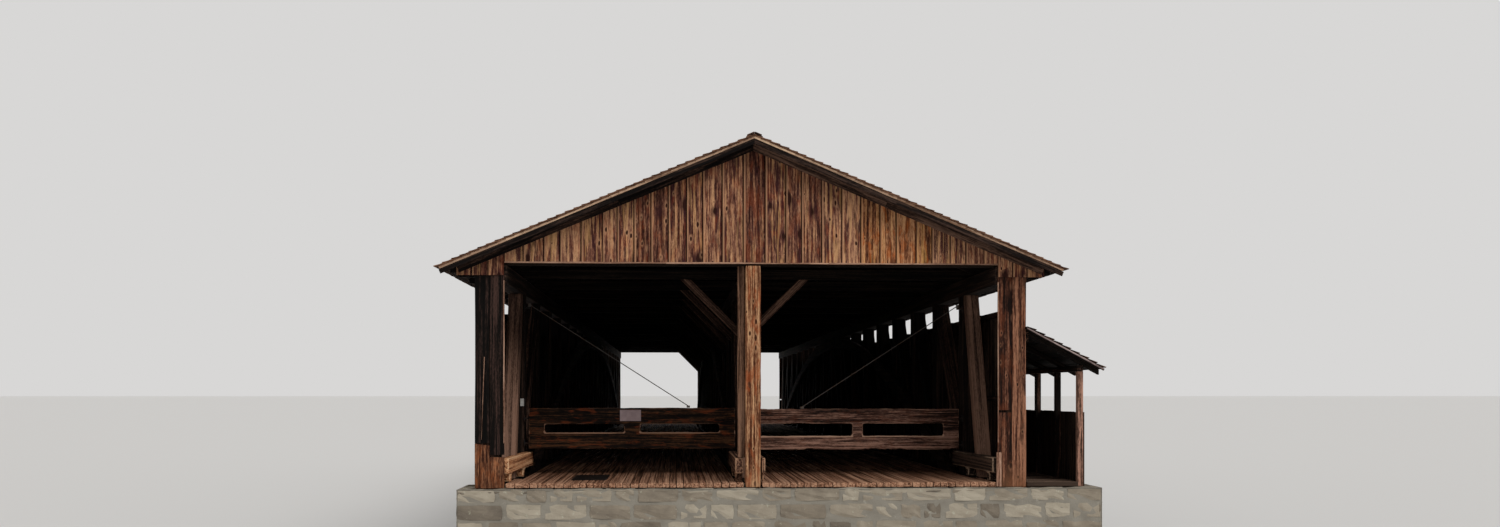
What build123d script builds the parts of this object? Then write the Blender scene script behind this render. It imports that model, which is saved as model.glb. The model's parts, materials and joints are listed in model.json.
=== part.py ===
from build123d import *

# Timber covered bridge with two lanes, three arched trusses and a lean-to footpath.
# Scale model at 1:2 of a bridge about 51 m long. All lengths are millimetres of the model.
#
# The origin is on the centre line, on the floor, under the face of the near portal.
# +X points to the footpath side, +Y along the bridge to the far portal and +Z up.
# Heights called "over the deck" are measured from the upper side of the deck boards.
import os
from math import acos, atan, atan2, cos, hypot, sin, tan

os.makedirs("parts", exist_ok=True)

# Truss layout
panels = 16                    # panels in each truss
panel = 1410.0                 # post to post
first_post = 1495.0            # portal face to the first post
post_width = 140.0             # across the bridge
post_depth = 192.0             # along the bridge
brace_width = 120.0
brace_depth = 125.0
end_brace_heel = 10.0          # end of the lower chord to the foot of the end brace
end_brace_head = 94.0          # level length of the end brace's head, from the first post
lower_chord_depth = 180.0
upper_chord_depth = 150.0
truss_clear_height = 1650.0    # from the deck to the underside of the upper chord

# Arches
rib_thickness = 55.0
rib_depth = 150.0
arch_spring = -275.0           # centre of the rib over the deck at the abutment
joint_gap = 0.5                # between pieces that lie side by side in one node

# Floor
deck_level = 1100.0            # the deck over the lowest ground under the bridge
deck_thickness = 40.0
stringer_width = 60.0
stringers_per_lane = 5
floor_beam_width = 100.0
floor_beam_depth = 150.0
arch_side_gap = 10.0           # between the deck's edge and the side of an arch
apron_gap = 10.0               # between the deck and the centre post, and past the inner face of the outer posts

# Abutments
backwall_thickness = 650.0
backwall_front = 50.0          # how far the masonry stands out before the portal
seat_length = 500.0            # level seat of the chords, before the backwall
abutment_margin = 150.0        # masonry beyond the outermost timbers at each side
chord_end_gap = 25.0           # between the backwall and the end of a lower chord
footing_step = 60.0
footing_height = 300.0

# Cross frames
tie_beam_depth = 90.0
tie_beam_width = 100.0
knee_reach = 435.0             # level reach of a knee brace from the middle posts
knee_width = 60.0
knee_depth = 65.0
knee_arch_room = 10.0          # an arch that comes this near to the foot of a knee brace carries it

# Roof
ridge_height = 2860.0          # upper side of the shingles over the deck
rafter_width = 60.0
rafter_depth = 110.0
rafter_notch = 12.4            # rafters cut over the outer top corner of the upper chord, plumb depth there
rafter_set_in = 60.0           # end of a rafter inside the edge of the roof boards
tail_cut = 44.0                # plumb height of a rafter's end over its level soffit cut
roof_board = 15.0
eave_overhang = 260.0          # roof boards beyond the siding
shingle_layer = 20.0
shingle_lip = 40.0             # shingles beyond the boards at the eaves
rake_overhang = 210.0          # roof boards beyond the portal's face
rake_board_height = 60.0
rake_board_thickness = 15.0
shingle_rake_lip = 15.0        # shingles beyond the rake board
ridge_cap_width = 60.0
ridge_cap_thickness = 12.0

# Portals
opening_half_width = 2047.5
post_show = 17.5               # how far the outer trusses' posts stand into the opening
corner_board_thickness = 15.0
corner_board_head_gap = 3.0    # between the head of the corner boards and the rafter over their outer edge
corner_post_width = 115.0
corner_post_depth = 110.0
centre_post_width = 132.0
gable_thickness = 15.0
gable_lift = 175.0             # lower edge of the gable boards over the lanes, over the upper chord's underside
gable_set_in = 110.0           # outer end of the gable boards inside the edge of the roof boards
gable_end_height = 81.2        # plumb edge of the gable boards at their outer end
frieze_height = 67.0
frieze_thickness = 12.0
drip_height = 14.0
side_plank_width = 62.0
side_plank_thickness = 25.0
side_plank_set_back = 65.0

# Sides
girt_depth = 50.0
girt_height = 40.0
packing_width = 90.0
siding_thickness = 15.0
open_strip = 180.0             # between the top of the siding and the upper chord
low_girt_lift = 50.0           # centre of the lowest girt over the underside of the lower chord
middle_girt_height = 695.0     # centre of the middle girt over the deck

# Guard timbers beside the lanes at the portals
guard_start = 75.0
guard_length = 1500.0
guard_height = 135.0
guard_lift = 70.0
guard_thickness = 80.0
guard_splay = 60.0             # the outer guards close in by this much along their length
guard_inset = 27.5             # from the opening's edge to the near end of an outer guard
middle_guard_inner = 75.0      # centre line to the inner face of a middle guard
middle_guard_thickness = {-1: 72.0, 1: 33.0}
guard_block_length = 100.0
guard_block_places = (200.0, 950.0)
guard_block_inset = 5.0        # side of a block inside the face of its timber
notch_clearance = 2.0

# Footpath
path_width = 490.0             # siding to the outer face of the posts
path_post = 50.0
path_bays = 36
path_header_underside = 925.0
path_header_depth = 50.0
path_floor_gap = 10.0          # between the siding and the floor
parapet_top = 585.0
parapet_thickness = 12.0
parapet_bottom = -190.0
path_roof_drop = 158.0         # upper side of the lean-to roof at the siding, under the top of the siding
path_roof_eave = 170.0         # lean-to roof beyond the posts
path_roof_thickness = 35.0
path_roof_overhang = 75.0
path_rafter_depth = 40.0
path_rafter_width = 45.0
path_rafter_notch = 7.3        # rafters cut over the outer top corner of the header, plumb depth there
path_rafter_set_in = 35.0      # end of a rafter inside the edge of the lean-to roof
ledger_thickness = 25.0
ledger_height = 85.0

# Gates
gate_axis_inset = 50.0         # hinge axis from the inner face of the outer posts
gate_axis_set_back = 12.5      # hinge axis before the near face of the first posts
gate_plank_thickness = 30.0
gate_plank_setback = 17.5      # from the hinge axis to the back of the planks
gate_heel = 5.0                # planks beyond the hinge axis
gate_tip = 92.5                # centre line to the free end of a gate
gate_lower_planks = {"left": (231.5, 385.0), "right": (219.0, 350.0)}
gate_upper_planks = {"left": (457.5, 610.0), "right": (459.0, 600.0)}
gate_block_width = 150.0
gate_narrow_block = 100.0        # the right gate's middle block
strap_length = 290.0
strap_height = 30.0
strap_thickness = 6.0
knuckle_radius = 15.0
pin_radius = 6.0
pin_play = 0.05
bracket_gap = 0.3
bracket_eye = 12.0             # radius of the arm's end round the pin, and half the arm's width
bracket_arm = 15.0
bracket_plate = 8.0
bracket_plate_length = 50.0    # on the post's inner face
bracket_plate_height = 60.0
stay_radius = 4.0
stay_foot_place = 432.5        # free end of a gate to the foot of its stay
stay_head_drop = 100.0         # head of a stay under the upper chord
stay_lug = 15.0
stay_lug_inset = 5.0           # side of a lug inside the face of its plank

# Places that follow from the sizes above
bridge_length = 2 * first_post + panels * panel
middle = bridge_length / 2
half_post = post_width / 2
truss_line = opening_half_width - post_show + half_post
truss_sides = {"left": -truss_line, "centre": 0.0, "right": truss_line}
post_places = [first_post + number * panel for number in range(panels + 1)]
inner_face = truss_line - half_post
outer_face = truss_line + half_post
chord_top = deck_level
chord_underside = deck_level - lower_chord_depth
upper_underside = deck_level + truss_clear_height
upper_top = upper_underside + upper_chord_depth
tie_top = upper_top + tie_beam_depth
backwall_top = deck_level - deck_thickness
seat_end = backwall_thickness + seat_length
chord_start = backwall_thickness + chord_end_gap
siding_top = upper_underside - open_strip
siding_inner = outer_face + rib_thickness + girt_depth
siding_outer = siding_inner + siding_thickness
post_near = first_post - post_depth / 2
path_edge = siding_outer + path_width
eave_reach = siding_outer + eave_overhang
gable_reach = eave_reach - gable_set_in
rafter_tail = eave_reach - rafter_set_in
abutment_left = -siding_outer - abutment_margin
abutment_right = path_edge + abutment_margin


def pitch_over(seat_reach, seat_drop, stack):
    """Pitch in radians at which a roof of a given thickness has its underside on a seat out from and under its top."""
    return acos(stack / hypot(seat_reach, seat_drop)) - atan2(seat_reach, seat_drop)


rafter_seat = upper_top - rafter_notch
roof_stack = rafter_depth + roof_board + shingle_layer
roof_pitch = pitch_over(outer_face, deck_level + ridge_height - rafter_seat, roof_stack)
slope = tan(roof_pitch)
slope_cos = cos(roof_pitch)
board_top_height = deck_level + ridge_height - shingle_layer / slope_cos
rafter_top_height = board_top_height - roof_board / slope_cos
rafter_underside_height = rafter_top_height - rafter_depth / slope_cos
gable_foot = rafter_top_height - slope * gable_reach - gable_end_height
gable_edge = upper_underside + gable_lift

# The circle of the arches, through their crown and their two ends
arch_crown = upper_underside - rib_depth / 2
arch_half_span = middle - seat_end
arch_rise = arch_crown - deck_level - arch_spring
arch_radius = (arch_half_span**2 + arch_rise**2) / (2 * arch_rise)
arch_pivot = arch_crown - arch_radius


def keep(part, name):
    """Label one finished piece and write it to its file."""
    part.label = name
    export_step(part, f"parts/{name}.step")


def from_far_end(part):
    """The same solids at the far end of the bridge."""
    return mirror(part, about=Plane.XZ.offset(-middle), mode=Mode.PRIVATE)


def across(y):
    """Upright plane across the bridge at a distance from the portal, with X right and Z up."""
    return Plane.XZ.offset(-y)


def along(x):
    """Upright plane along the bridge at a distance from the centre line, with Y right and Z up."""
    return Plane.YZ.offset(x)


def block(x0, x1, y0, y1, z0, z1):
    """A squared timber or stone between two corners, in the part that is open."""
    with Locations(((x0 + x1) / 2, (y0 + y1) / 2, (z0 + z1) / 2)):
        return Box(x1 - x0, y1 - y0, z1 - z0)


def roof_line(height, x):
    """Height of a sloping roof line that is at the given height over the centre line."""
    return height - slope * x


def arch_height(y):
    """Centre of an arch rib over the floor."""
    return arch_pivot + (arch_radius**2 - (y - middle) ** 2) ** 0.5


# Abutments: one mass of masonry at each end, with a backwall under the portal and a seat for the timbers.
with BuildPart() as near_abutment:
    with BuildSketch(along(abutment_left)):
        with BuildLine():
            Polyline(
                (-backwall_front, 0),
                (-backwall_front, backwall_top),
                (backwall_thickness, backwall_top),
                (backwall_thickness, chord_underside),
                (seat_end, chord_underside),
                (seat_end, footing_height),
                (seat_end + footing_step, footing_height),
                (seat_end + footing_step, 0),
                close=True,
            )
        make_face()
    extrude(amount=abutment_right - abutment_left)
keep(near_abutment.part, "near_abutment")

with BuildPart() as far_abutment:
    add(from_far_end(near_abutment.part))
keep(far_abutment.part, "far_abutment")

# Arch ribs: a pair to each truss, one on each side of its posts, cut plumb where they meet the abutments.
rib_places = [half_post, -half_post - rib_thickness]

arches = {}
for side, x in truss_sides.items():
    with BuildPart() as ribs:
        for place in rib_places:
            with BuildSketch(along(x + place)):
                with Locations((middle, arch_pivot)):
                    Circle(arch_radius + rib_depth / 2)
                    Circle(arch_radius - rib_depth / 2, mode=Mode.SUBTRACT)
                    Rectangle(
                        2 * arch_half_span,
                        2 * arch_radius,
                        align=(Align.CENTER, Align.MIN),
                        mode=Mode.INTERSECT,
                    )
            extrude(amount=rib_thickness)
    arches[side] = ribs.part
    keep(ribs.part, f"{side}_arches")

# Trusses
end_brace_foot = chord_start + end_brace_heel
end_brace_run = post_near - end_brace_head - end_brace_foot
end_brace_pitch = atan(truss_clear_height / end_brace_run)
end_brace_level = brace_depth / sin(end_brace_pitch)
end_brace_back = end_brace_foot + end_brace_level


def panel_brace(y0, y1):
    """Outline of a brace in the corner at the foot of the post at y0 and in that at the head of the post at y1."""
    foot = y0 + post_depth / 2
    head = y1 - post_depth / 2
    run = head - foot
    clear = truss_clear_height
    length = (run**2 + clear**2 - brace_depth**2) ** 0.5
    upright = brace_depth * (run * length - brace_depth * clear) / (run**2 - brace_depth**2)
    return [
        (foot, chord_top),
        (head, upper_underside - upright),
        (head, upper_underside),
        (foot, chord_top + upright),
    ]


end_brace = [
    (end_brace_foot, chord_top),
    (end_brace_foot + end_brace_run, upper_underside),
    (post_near, upper_underside),
    (post_near, chord_top + (post_near - end_brace_back) * tan(end_brace_pitch)),
    (end_brace_back, chord_top),
]

for side, x in truss_sides.items():
    with BuildPart() as lower_chord:
        block(x - half_post, x + half_post, chord_start, bridge_length - chord_start, chord_underside, chord_top)
    keep(lower_chord.part, f"{side}_lower_chord")

    chord_reach = centre_post_width if side == "centre" else corner_board_thickness
    with BuildPart() as upper_chord:
        block(x - half_post, x + half_post, chord_reach, bridge_length - chord_reach, upper_underside, upper_top)
    keep(upper_chord.part, f"{side}_upper_chord")

    with BuildPart() as posts:
        for y in post_places:
            block(x - half_post, x + half_post, y - post_depth / 2, y + post_depth / 2, chord_top, upper_underside)
    keep(posts.part, f"{side}_truss_posts")

    with BuildPart() as braces:
        with BuildSketch(along(x - brace_width / 2)):
            with BuildLine():
                Polyline(*end_brace, close=True)
            make_face()
            for number in range(panels // 2):
                with BuildLine():
                    Polyline(*panel_brace(post_places[number], post_places[number + 1]), close=True)
                make_face()
        extrude(amount=brace_width)
        mirror(about=Plane.XZ.offset(-middle))
    keep(braces.part, f"{side}_truss_braces")

# Floor: beams slung under the lower chords, stringers on them and boards on the stringers.
beam_start = first_post + panel / 4
beam_places = [beam_start + number * panel / 2 for number in range(2 * panels)]
with BuildPart() as floor_beams:
    for y in beam_places:
        block(
            -outer_face - rib_thickness,
            path_edge,
            y - floor_beam_width / 2,
            y + floor_beam_width / 2,
            chord_underside - floor_beam_depth,
            chord_underside,
        )
keep(floor_beams.part, "floor_beams")

half_centre_post = centre_post_width / 2
lane_inner = half_post + rib_thickness + arch_side_gap
lane_outer = inner_face - rib_thickness - arch_side_gap
stringer_span = lane_outer - lane_inner - stringer_width
path_inner = path_edge - path_post
path_floor_start = siding_outer + path_floor_gap
path_stringers = [path_floor_start + stringer_width, path_inner - stringer_width]
stringer_lines = [
    sign * (lane_inner + stringer_width / 2 + number * stringer_span / (stringers_per_lane - 1))
    for sign in (-1, 1)
    for number in range(stringers_per_lane)
] + path_stringers
with BuildPart() as stringers:
    for x in stringer_lines:
        block(
            x - stringer_width / 2,
            x + stringer_width / 2,
            backwall_thickness,
            bridge_length - backwall_thickness,
            chord_underside,
            backwall_top,
        )
keep(stringers.part, "stringers")

with BuildPart() as deck:
    for sign in (-1, 1):
        inner, outer = sorted((sign * lane_inner, sign * lane_outer))
        block(inner, outer, 0, bridge_length, backwall_top, deck_level)
        apron_inner, apron_outer = sorted((sign * (half_centre_post + apron_gap), sign * (inner_face + apron_gap)))
        block(apron_inner, apron_outer, 0, backwall_thickness, backwall_top, deck_level)
        block(apron_inner, apron_outer, bridge_length - backwall_thickness, bridge_length, backwall_top, deck_level)
keep(deck.part, "deck")

# Guard timbers: four at each portal, on blocks. The outer ones are splayed and notched round post and brace.
guard_near_face = opening_half_width - guard_inset
guard_base = deck_level + guard_lift
with BuildPart() as guard_timbers:
    for sign in (-1, 1):
        with BuildSketch(Plane.XY.offset(guard_base)):
            with BuildLine():
                Polyline(
                    (sign * guard_near_face, guard_start),
                    (sign * (guard_near_face + guard_thickness), guard_start),
                    (sign * (guard_near_face + guard_thickness - guard_splay), guard_start + guard_length),
                    (sign * (guard_near_face - guard_splay), guard_start + guard_length),
                    close=True,
                )
            make_face()
        extrude(amount=guard_height)
        outer = middle_guard_inner + middle_guard_thickness[sign]
        face, back = sorted((sign * outer, sign * middle_guard_inner))
        block(face, back, guard_start, guard_start + guard_length, guard_base, guard_base + guard_height)
        for place in guard_block_places:
            shift = guard_splay * (place - guard_start) / guard_length
            near = guard_near_face - shift + guard_block_inset
            far = guard_near_face - shift + guard_thickness - guard_block_inset
            low, high = sorted((sign * near, sign * far))
            block(low, high, place, place + guard_block_length, deck_level, guard_base)
            block(
                face + guard_block_inset,
                back - guard_block_inset,
                place,
                place + guard_block_length,
                deck_level,
                guard_base,
            )
        low, high = sorted((sign * (inner_face - notch_clearance), sign * outer_face))
        with Locations(
            ((low + high) / 2, first_post, guard_base + guard_height / 2),
        ):
            Box(
                high - low,
                post_depth + 2 * notch_clearance,
                guard_height,
                mode=Mode.SUBTRACT,
            )
        rise = guard_lift + guard_height
        notch_start = end_brace_foot - notch_clearance
        notch_end = end_brace_back + rise / tan(end_brace_pitch) + notch_clearance
        low, high = sorted((sign * (truss_line - brace_width / 2 - notch_clearance), sign * outer_face))
        with Locations(((low + high) / 2, (notch_start + notch_end) / 2, guard_base + guard_height / 2)):
            Box(high - low, notch_end - notch_start, guard_height, mode=Mode.SUBTRACT)
    mirror(about=Plane.XZ.offset(-middle))
keep(guard_timbers.part, "guard_timbers")

# Cross frames: the tie beam of each portal stands behind its pair of rafters.
tie_places = [rafter_width + tie_beam_width / 2] + post_places
tie_places.append(bridge_length - tie_places[0])
with BuildPart() as tie_beams:
    for y in tie_places:
        block(-outer_face, outer_face, y - tie_beam_width / 2, y + tie_beam_width / 2, upper_top, tie_top)
keep(tie_beams.part, "tie_beams")

knee_upright = knee_depth * 2**0.5
knee_head_height = upper_top
arch_band = rib_depth / 2 + knee_arch_room


def knee_start(y):
    """Where a knee brace starts: on the post, or on the arch rib where that crosses its foot."""
    foot_low = knee_head_height - knee_reach - knee_upright
    foot_high = knee_head_height - knee_reach + rib_thickness
    crosses = foot_low - arch_band < arch_height(y) < foot_high + arch_band
    return half_post + rib_thickness if crosses else half_post


with BuildPart() as knee_braces:
    for y in post_places:
        start = knee_start(y)
        foot = knee_head_height - knee_reach + start - half_post
        end = half_post + knee_reach
        for sign in (-1, 1):
            with BuildSketch(across(y - knee_width / 2)):
                with BuildLine():
                    Polyline(
                        (sign * start, foot - knee_upright),
                        (sign * start, foot),
                        (sign * end, knee_head_height),
                        (sign * (end + knee_upright), knee_head_height),
                        close=True,
                    )
                make_face()
            extrude(amount=-knee_width)
keep(knee_braces.part, "knee_braces")

# Rafters: notched over the outer corner of the upper chord and cut level under their tails.
rafter_places = [beam_start + number * panel / 2 for number in range(-2, 2 * panels + 2)]
rafter_places += [rafter_width / 2, bridge_length - rafter_width / 2]
soffit = roof_line(rafter_top_height, rafter_tail) - tail_cut
with BuildPart() as rafter:
    with BuildSketch(across(-rafter_width / 2)):
        with BuildLine():
            Polyline(
                (joint_gap / 2, roof_line(rafter_underside_height, joint_gap / 2)),
                (joint_gap / 2, roof_line(rafter_top_height, joint_gap / 2)),
                (rafter_tail, roof_line(rafter_top_height, rafter_tail)),
                (rafter_tail, soffit),
                ((rafter_underside_height - soffit) / slope, soffit),
                close=True,
            )
        make_face()
        with Locations((truss_line, upper_top)):
            Rectangle(post_width, upper_chord_depth, align=(Align.CENTER, Align.MAX), mode=Mode.SUBTRACT)
    extrude(amount=-rafter_width)
with BuildPart() as rafters:
    with Locations(*[(0, y, 0) for y in rafter_places]):
        add(rafter.part)
    mirror(about=Plane.YZ)
keep(rafters.part, "rafters")


def roof_layer(top_height, thickness, reach, overhang, sign):
    """One layer of one side of the roof, as a part of its own."""
    upright = thickness / slope_cos
    with BuildPart() as layer:
        with BuildSketch(across(-overhang)):
            with BuildLine():
                Polyline(
                    (sign * joint_gap / 2, roof_line(top_height - upright, joint_gap / 2)),
                    (sign * joint_gap / 2, roof_line(top_height, joint_gap / 2)),
                    (sign * reach, roof_line(top_height, reach)),
                    (sign * reach, roof_line(top_height - upright, reach)),
                    close=True,
                )
            make_face()
        extrude(amount=-(bridge_length + 2 * overhang))
    return layer.part


shingle_overhang = rake_overhang + rake_board_thickness + shingle_rake_lip
for side, sign in (("left", -1), ("right", 1)):
    keep(roof_layer(board_top_height, roof_board, eave_reach, rake_overhang, sign), f"{side}_roof_boards")
    shingle_top = deck_level + ridge_height
    keep(
        roof_layer(shingle_top, shingle_layer, eave_reach + shingle_lip, shingle_overhang, sign),
        f"{side}_shingles",
    )


def chevron(top_height, height, reach, y, thickness):
    """Two sloping boards that meet at the ridge, in the part that is open."""
    with BuildSketch(across(y)) as profile:
        with BuildLine():
            Polyline(
                (0, top_height),
                (reach, roof_line(top_height, reach)),
                (reach, roof_line(top_height - height, reach)),
                (0, top_height - height),
                (-reach, roof_line(top_height - height, reach)),
                (-reach, roof_line(top_height, reach)),
                close=True,
            )
        make_face()
    extrude(profile.sketch, amount=-thickness)


cap_height = ridge_cap_thickness / slope_cos
with BuildPart() as ridge_cap:
    chevron(
        deck_level + ridge_height + cap_height,
        cap_height,
        ridge_cap_width,
        -shingle_overhang,
        bridge_length + 2 * shingle_overhang,
    )
keep(ridge_cap.part, "ridge_cap")

# Portals
with BuildPart() as gable_trim:
    chevron(
        board_top_height,
        rake_board_height / slope_cos,
        eave_reach,
        -rake_overhang - rake_board_thickness,
        rake_board_thickness,
    )
    chevron(
        rafter_top_height,
        frieze_height / slope_cos,
        gable_reach,
        -gable_thickness - frieze_thickness,
        frieze_thickness,
    )
    block(
        -opening_half_width,
        opening_half_width,
        -gable_thickness,
        0,
        gable_edge - drip_height,
        gable_edge,
    )
    mirror(about=Plane.XZ.offset(-middle))
keep(gable_trim.part, "gable_trim")

with BuildPart() as near_gable:
    with BuildSketch(across(-gable_thickness)):
        with BuildLine():
            Polyline(
                (0, rafter_top_height),
                (gable_reach, roof_line(rafter_top_height, gable_reach)),
                (gable_reach, gable_foot),
                (opening_half_width, gable_foot),
                (opening_half_width, gable_edge),
                (-opening_half_width, gable_edge),
                (-opening_half_width, gable_foot),
                (-gable_reach, gable_foot),
                (-gable_reach, roof_line(rafter_top_height, gable_reach)),
                close=True,
            )
        make_face()
    extrude(amount=-gable_thickness)
keep(near_gable.part, "near_gable")

with BuildPart() as far_gable:
    add(from_far_end(near_gable.part))
keep(far_gable.part, "far_gable")

corner_board_width = (siding_outer - opening_half_width - joint_gap) / 2
corner_board_top = roof_line(rafter_underside_height, siding_outer) - corner_board_head_gap
with BuildPart() as corner_boards:
    for start in (opening_half_width, opening_half_width + corner_board_width + joint_gap):
        block(start, start + corner_board_width, 0, corner_board_thickness, backwall_top, corner_board_top)
    mirror(about=Plane.YZ)
    mirror(about=Plane.XZ.offset(-middle))
keep(corner_boards.part, "corner_boards")

corner_post_outer = outer_face + rib_thickness
corner_post_back = corner_board_thickness + corner_post_depth
side_plank_edge = -half_centre_post - joint_gap
with BuildPart() as portal_posts:
    for sign in (-1, 1):
        low, high = sorted((sign * (corner_post_outer - corner_post_width), sign * corner_post_outer))
        block(low, high, corner_board_thickness, corner_post_back, backwall_top, upper_underside)
    block(-half_centre_post, half_centre_post, 0, centre_post_width, backwall_top, upper_top)
    mirror(about=Plane.XZ.offset(-middle))
    block(
        side_plank_edge - side_plank_width,
        side_plank_edge,
        side_plank_set_back,
        side_plank_set_back + side_plank_thickness,
        guard_base + guard_height,
        upper_top,
    )
keep(portal_posts.part, "portal_posts")

# Sides: girts packed out from the posts, and upright boards outside them.
girt_levels = [chord_underside + low_girt_lift, deck_level + middle_girt_height, siding_top - girt_height / 2]
with BuildPart() as girts:
    for level in girt_levels:
        z0 = level - girt_height / 2
        z1 = level + girt_height / 2
        block(
            outer_face + rib_thickness,
            siding_inner,
            corner_board_thickness,
            bridge_length - corner_board_thickness,
            z0,
            z1,
        )
        for y in post_places:
            block(outer_face, outer_face + rib_thickness, y - packing_width / 2, y + packing_width / 2, z0, z1)
    add(arches["right"], mode=Mode.SUBTRACT)
    add([near_abutment.part, far_abutment.part], mode=Mode.SUBTRACT)
    mirror(about=Plane.YZ)
keep(girts.part, "girts")

for side, sign in (("left", -1), ("right", 1)):
    low, high = sorted((sign * siding_inner, sign * siding_outer))
    with BuildPart() as siding:
        block(
            low,
            high,
            corner_board_thickness,
            bridge_length - corner_board_thickness,
            chord_underside,
            siding_top,
        )
        add([near_abutment.part, far_abutment.part], mode=Mode.SUBTRACT)
    keep(siding.part, f"{side}_siding")

# Footpath: posts on an edge beam, a header on the posts, a lean-to roof between header and wall.
path_spacing = (bridge_length - 2 * path_post) / path_bays
path_places = [path_post + number * path_spacing for number in range(path_bays + 1)]
header_bottom = deck_level + path_header_underside
header_top = header_bottom + path_header_depth
with BuildPart() as footpath_posts:
    for y in path_places:
        block(path_inner, path_edge, y - path_post / 2, y + path_post / 2, backwall_top, header_bottom)
keep(footpath_posts.part, "footpath_posts")

with BuildPart() as footpath_floor:
    block(path_floor_start, path_inner, 0, bridge_length, backwall_top, deck_level)
keep(footpath_floor.part, "footpath_floor")

with BuildPart() as footpath_parapet:
    block(
        path_edge,
        path_edge + parapet_thickness,
        path_post / 2,
        bridge_length - path_post / 2,
        deck_level + parapet_bottom,
        deck_level + parapet_top,
    )
    add([near_abutment.part, far_abutment.part], mode=Mode.SUBTRACT)
keep(footpath_parapet.part, "footpath_parapet")

path_roof_top = siding_top - path_roof_drop
path_roof_edge = path_edge + path_roof_eave
path_stack = path_roof_thickness + path_rafter_depth
path_roof_pitch = pitch_over(path_width, path_roof_top - header_top + path_rafter_notch, path_stack)
path_slope = tan(path_roof_pitch)
path_cos = cos(path_roof_pitch)
path_roof_underside = path_roof_top - path_roof_thickness / path_cos
ledger_face = siding_outer + ledger_thickness
ledger_top = path_roof_underside - path_slope * ledger_thickness


def under_path_roof(x):
    """Height of the underside of the lean-to roof at a distance from the centre line."""
    return path_roof_underside - path_slope * (x - siding_outer)


with BuildPart() as footpath_beams:
    block(path_inner, path_edge, backwall_thickness, bridge_length - backwall_thickness, chord_underside, backwall_top)
    block(path_inner, path_edge, path_post / 2, bridge_length - path_post / 2, header_bottom, header_top)
    block(siding_outer, ledger_face, path_post / 2, bridge_length - path_post / 2, ledger_top - ledger_height,
          ledger_top)
keep(footpath_beams.part, "footpath_beams")

path_rafter_upright = path_rafter_depth / path_cos
path_rafter_end = path_roof_edge - path_rafter_set_in
with BuildPart() as footpath_rafters:
    for y in path_places:
        with BuildSketch(across(y - path_rafter_width / 2)):
            with BuildLine():
                Polyline(
                    (ledger_face, under_path_roof(ledger_face)),
                    (path_rafter_end, under_path_roof(path_rafter_end)),
                    (path_rafter_end, under_path_roof(path_rafter_end) - path_rafter_upright),
                    (ledger_face, under_path_roof(ledger_face) - path_rafter_upright),
                    close=True,
                )
            make_face()
            with Locations(((path_inner + path_edge) / 2, header_top)):
                Rectangle(path_post, path_header_depth, align=(Align.CENTER, Align.MAX), mode=Mode.SUBTRACT)
        extrude(amount=-path_rafter_width)
keep(footpath_rafters.part, "footpath_rafters")

with BuildPart() as footpath_roof:
    with BuildSketch(across(-path_roof_overhang)):
        with BuildLine():
            Polyline(
                (siding_outer, path_roof_top),
                (path_roof_edge, path_roof_top - path_slope * (path_roof_edge - siding_outer)),
                (path_roof_edge, under_path_roof(path_roof_edge)),
                (siding_outer, path_roof_underside),
                close=True,
            )
        make_face()
    extrude(amount=-(bridge_length + 2 * path_roof_overhang))
keep(footpath_roof.part, "footpath_roof")

# Gates: one to each lane, hung at the first outer post on a strap at each plank, with a stay to its upper plank.
axis_x = inner_face - gate_axis_inset
axis_y = post_near - gate_axis_set_back
plank_back = axis_y - gate_plank_setback
plank_front = plank_back - gate_plank_thickness
stay_head = upper_underside - stay_head_drop
knuckle_height = strap_height
heel = axis_x + gate_heel
middle_block = (gate_tip + heel) / 2
gate_blocks = {
    "left": [
        (gate_tip, gate_block_width),
        (middle_block - gate_block_width / 2, gate_block_width),
        (heel - gate_block_width, gate_block_width),
    ],
    "right": [
        (middle_block - gate_narrow_block / 2, gate_narrow_block),
        (heel - gate_block_width, gate_block_width),
    ],
}
strap_levels = {
    side: [deck_level + sum(planks[side]) / 2 for planks in (gate_lower_planks, gate_upper_planks)]
    for side in gate_blocks
}


def cylinder_at(x, y, z, radius, height, mode=Mode.ADD):
    """An upright round bar around a point, in the part that is open."""
    with Locations((x, y, z)):
        Cylinder(radius, height, mode=mode)


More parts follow.
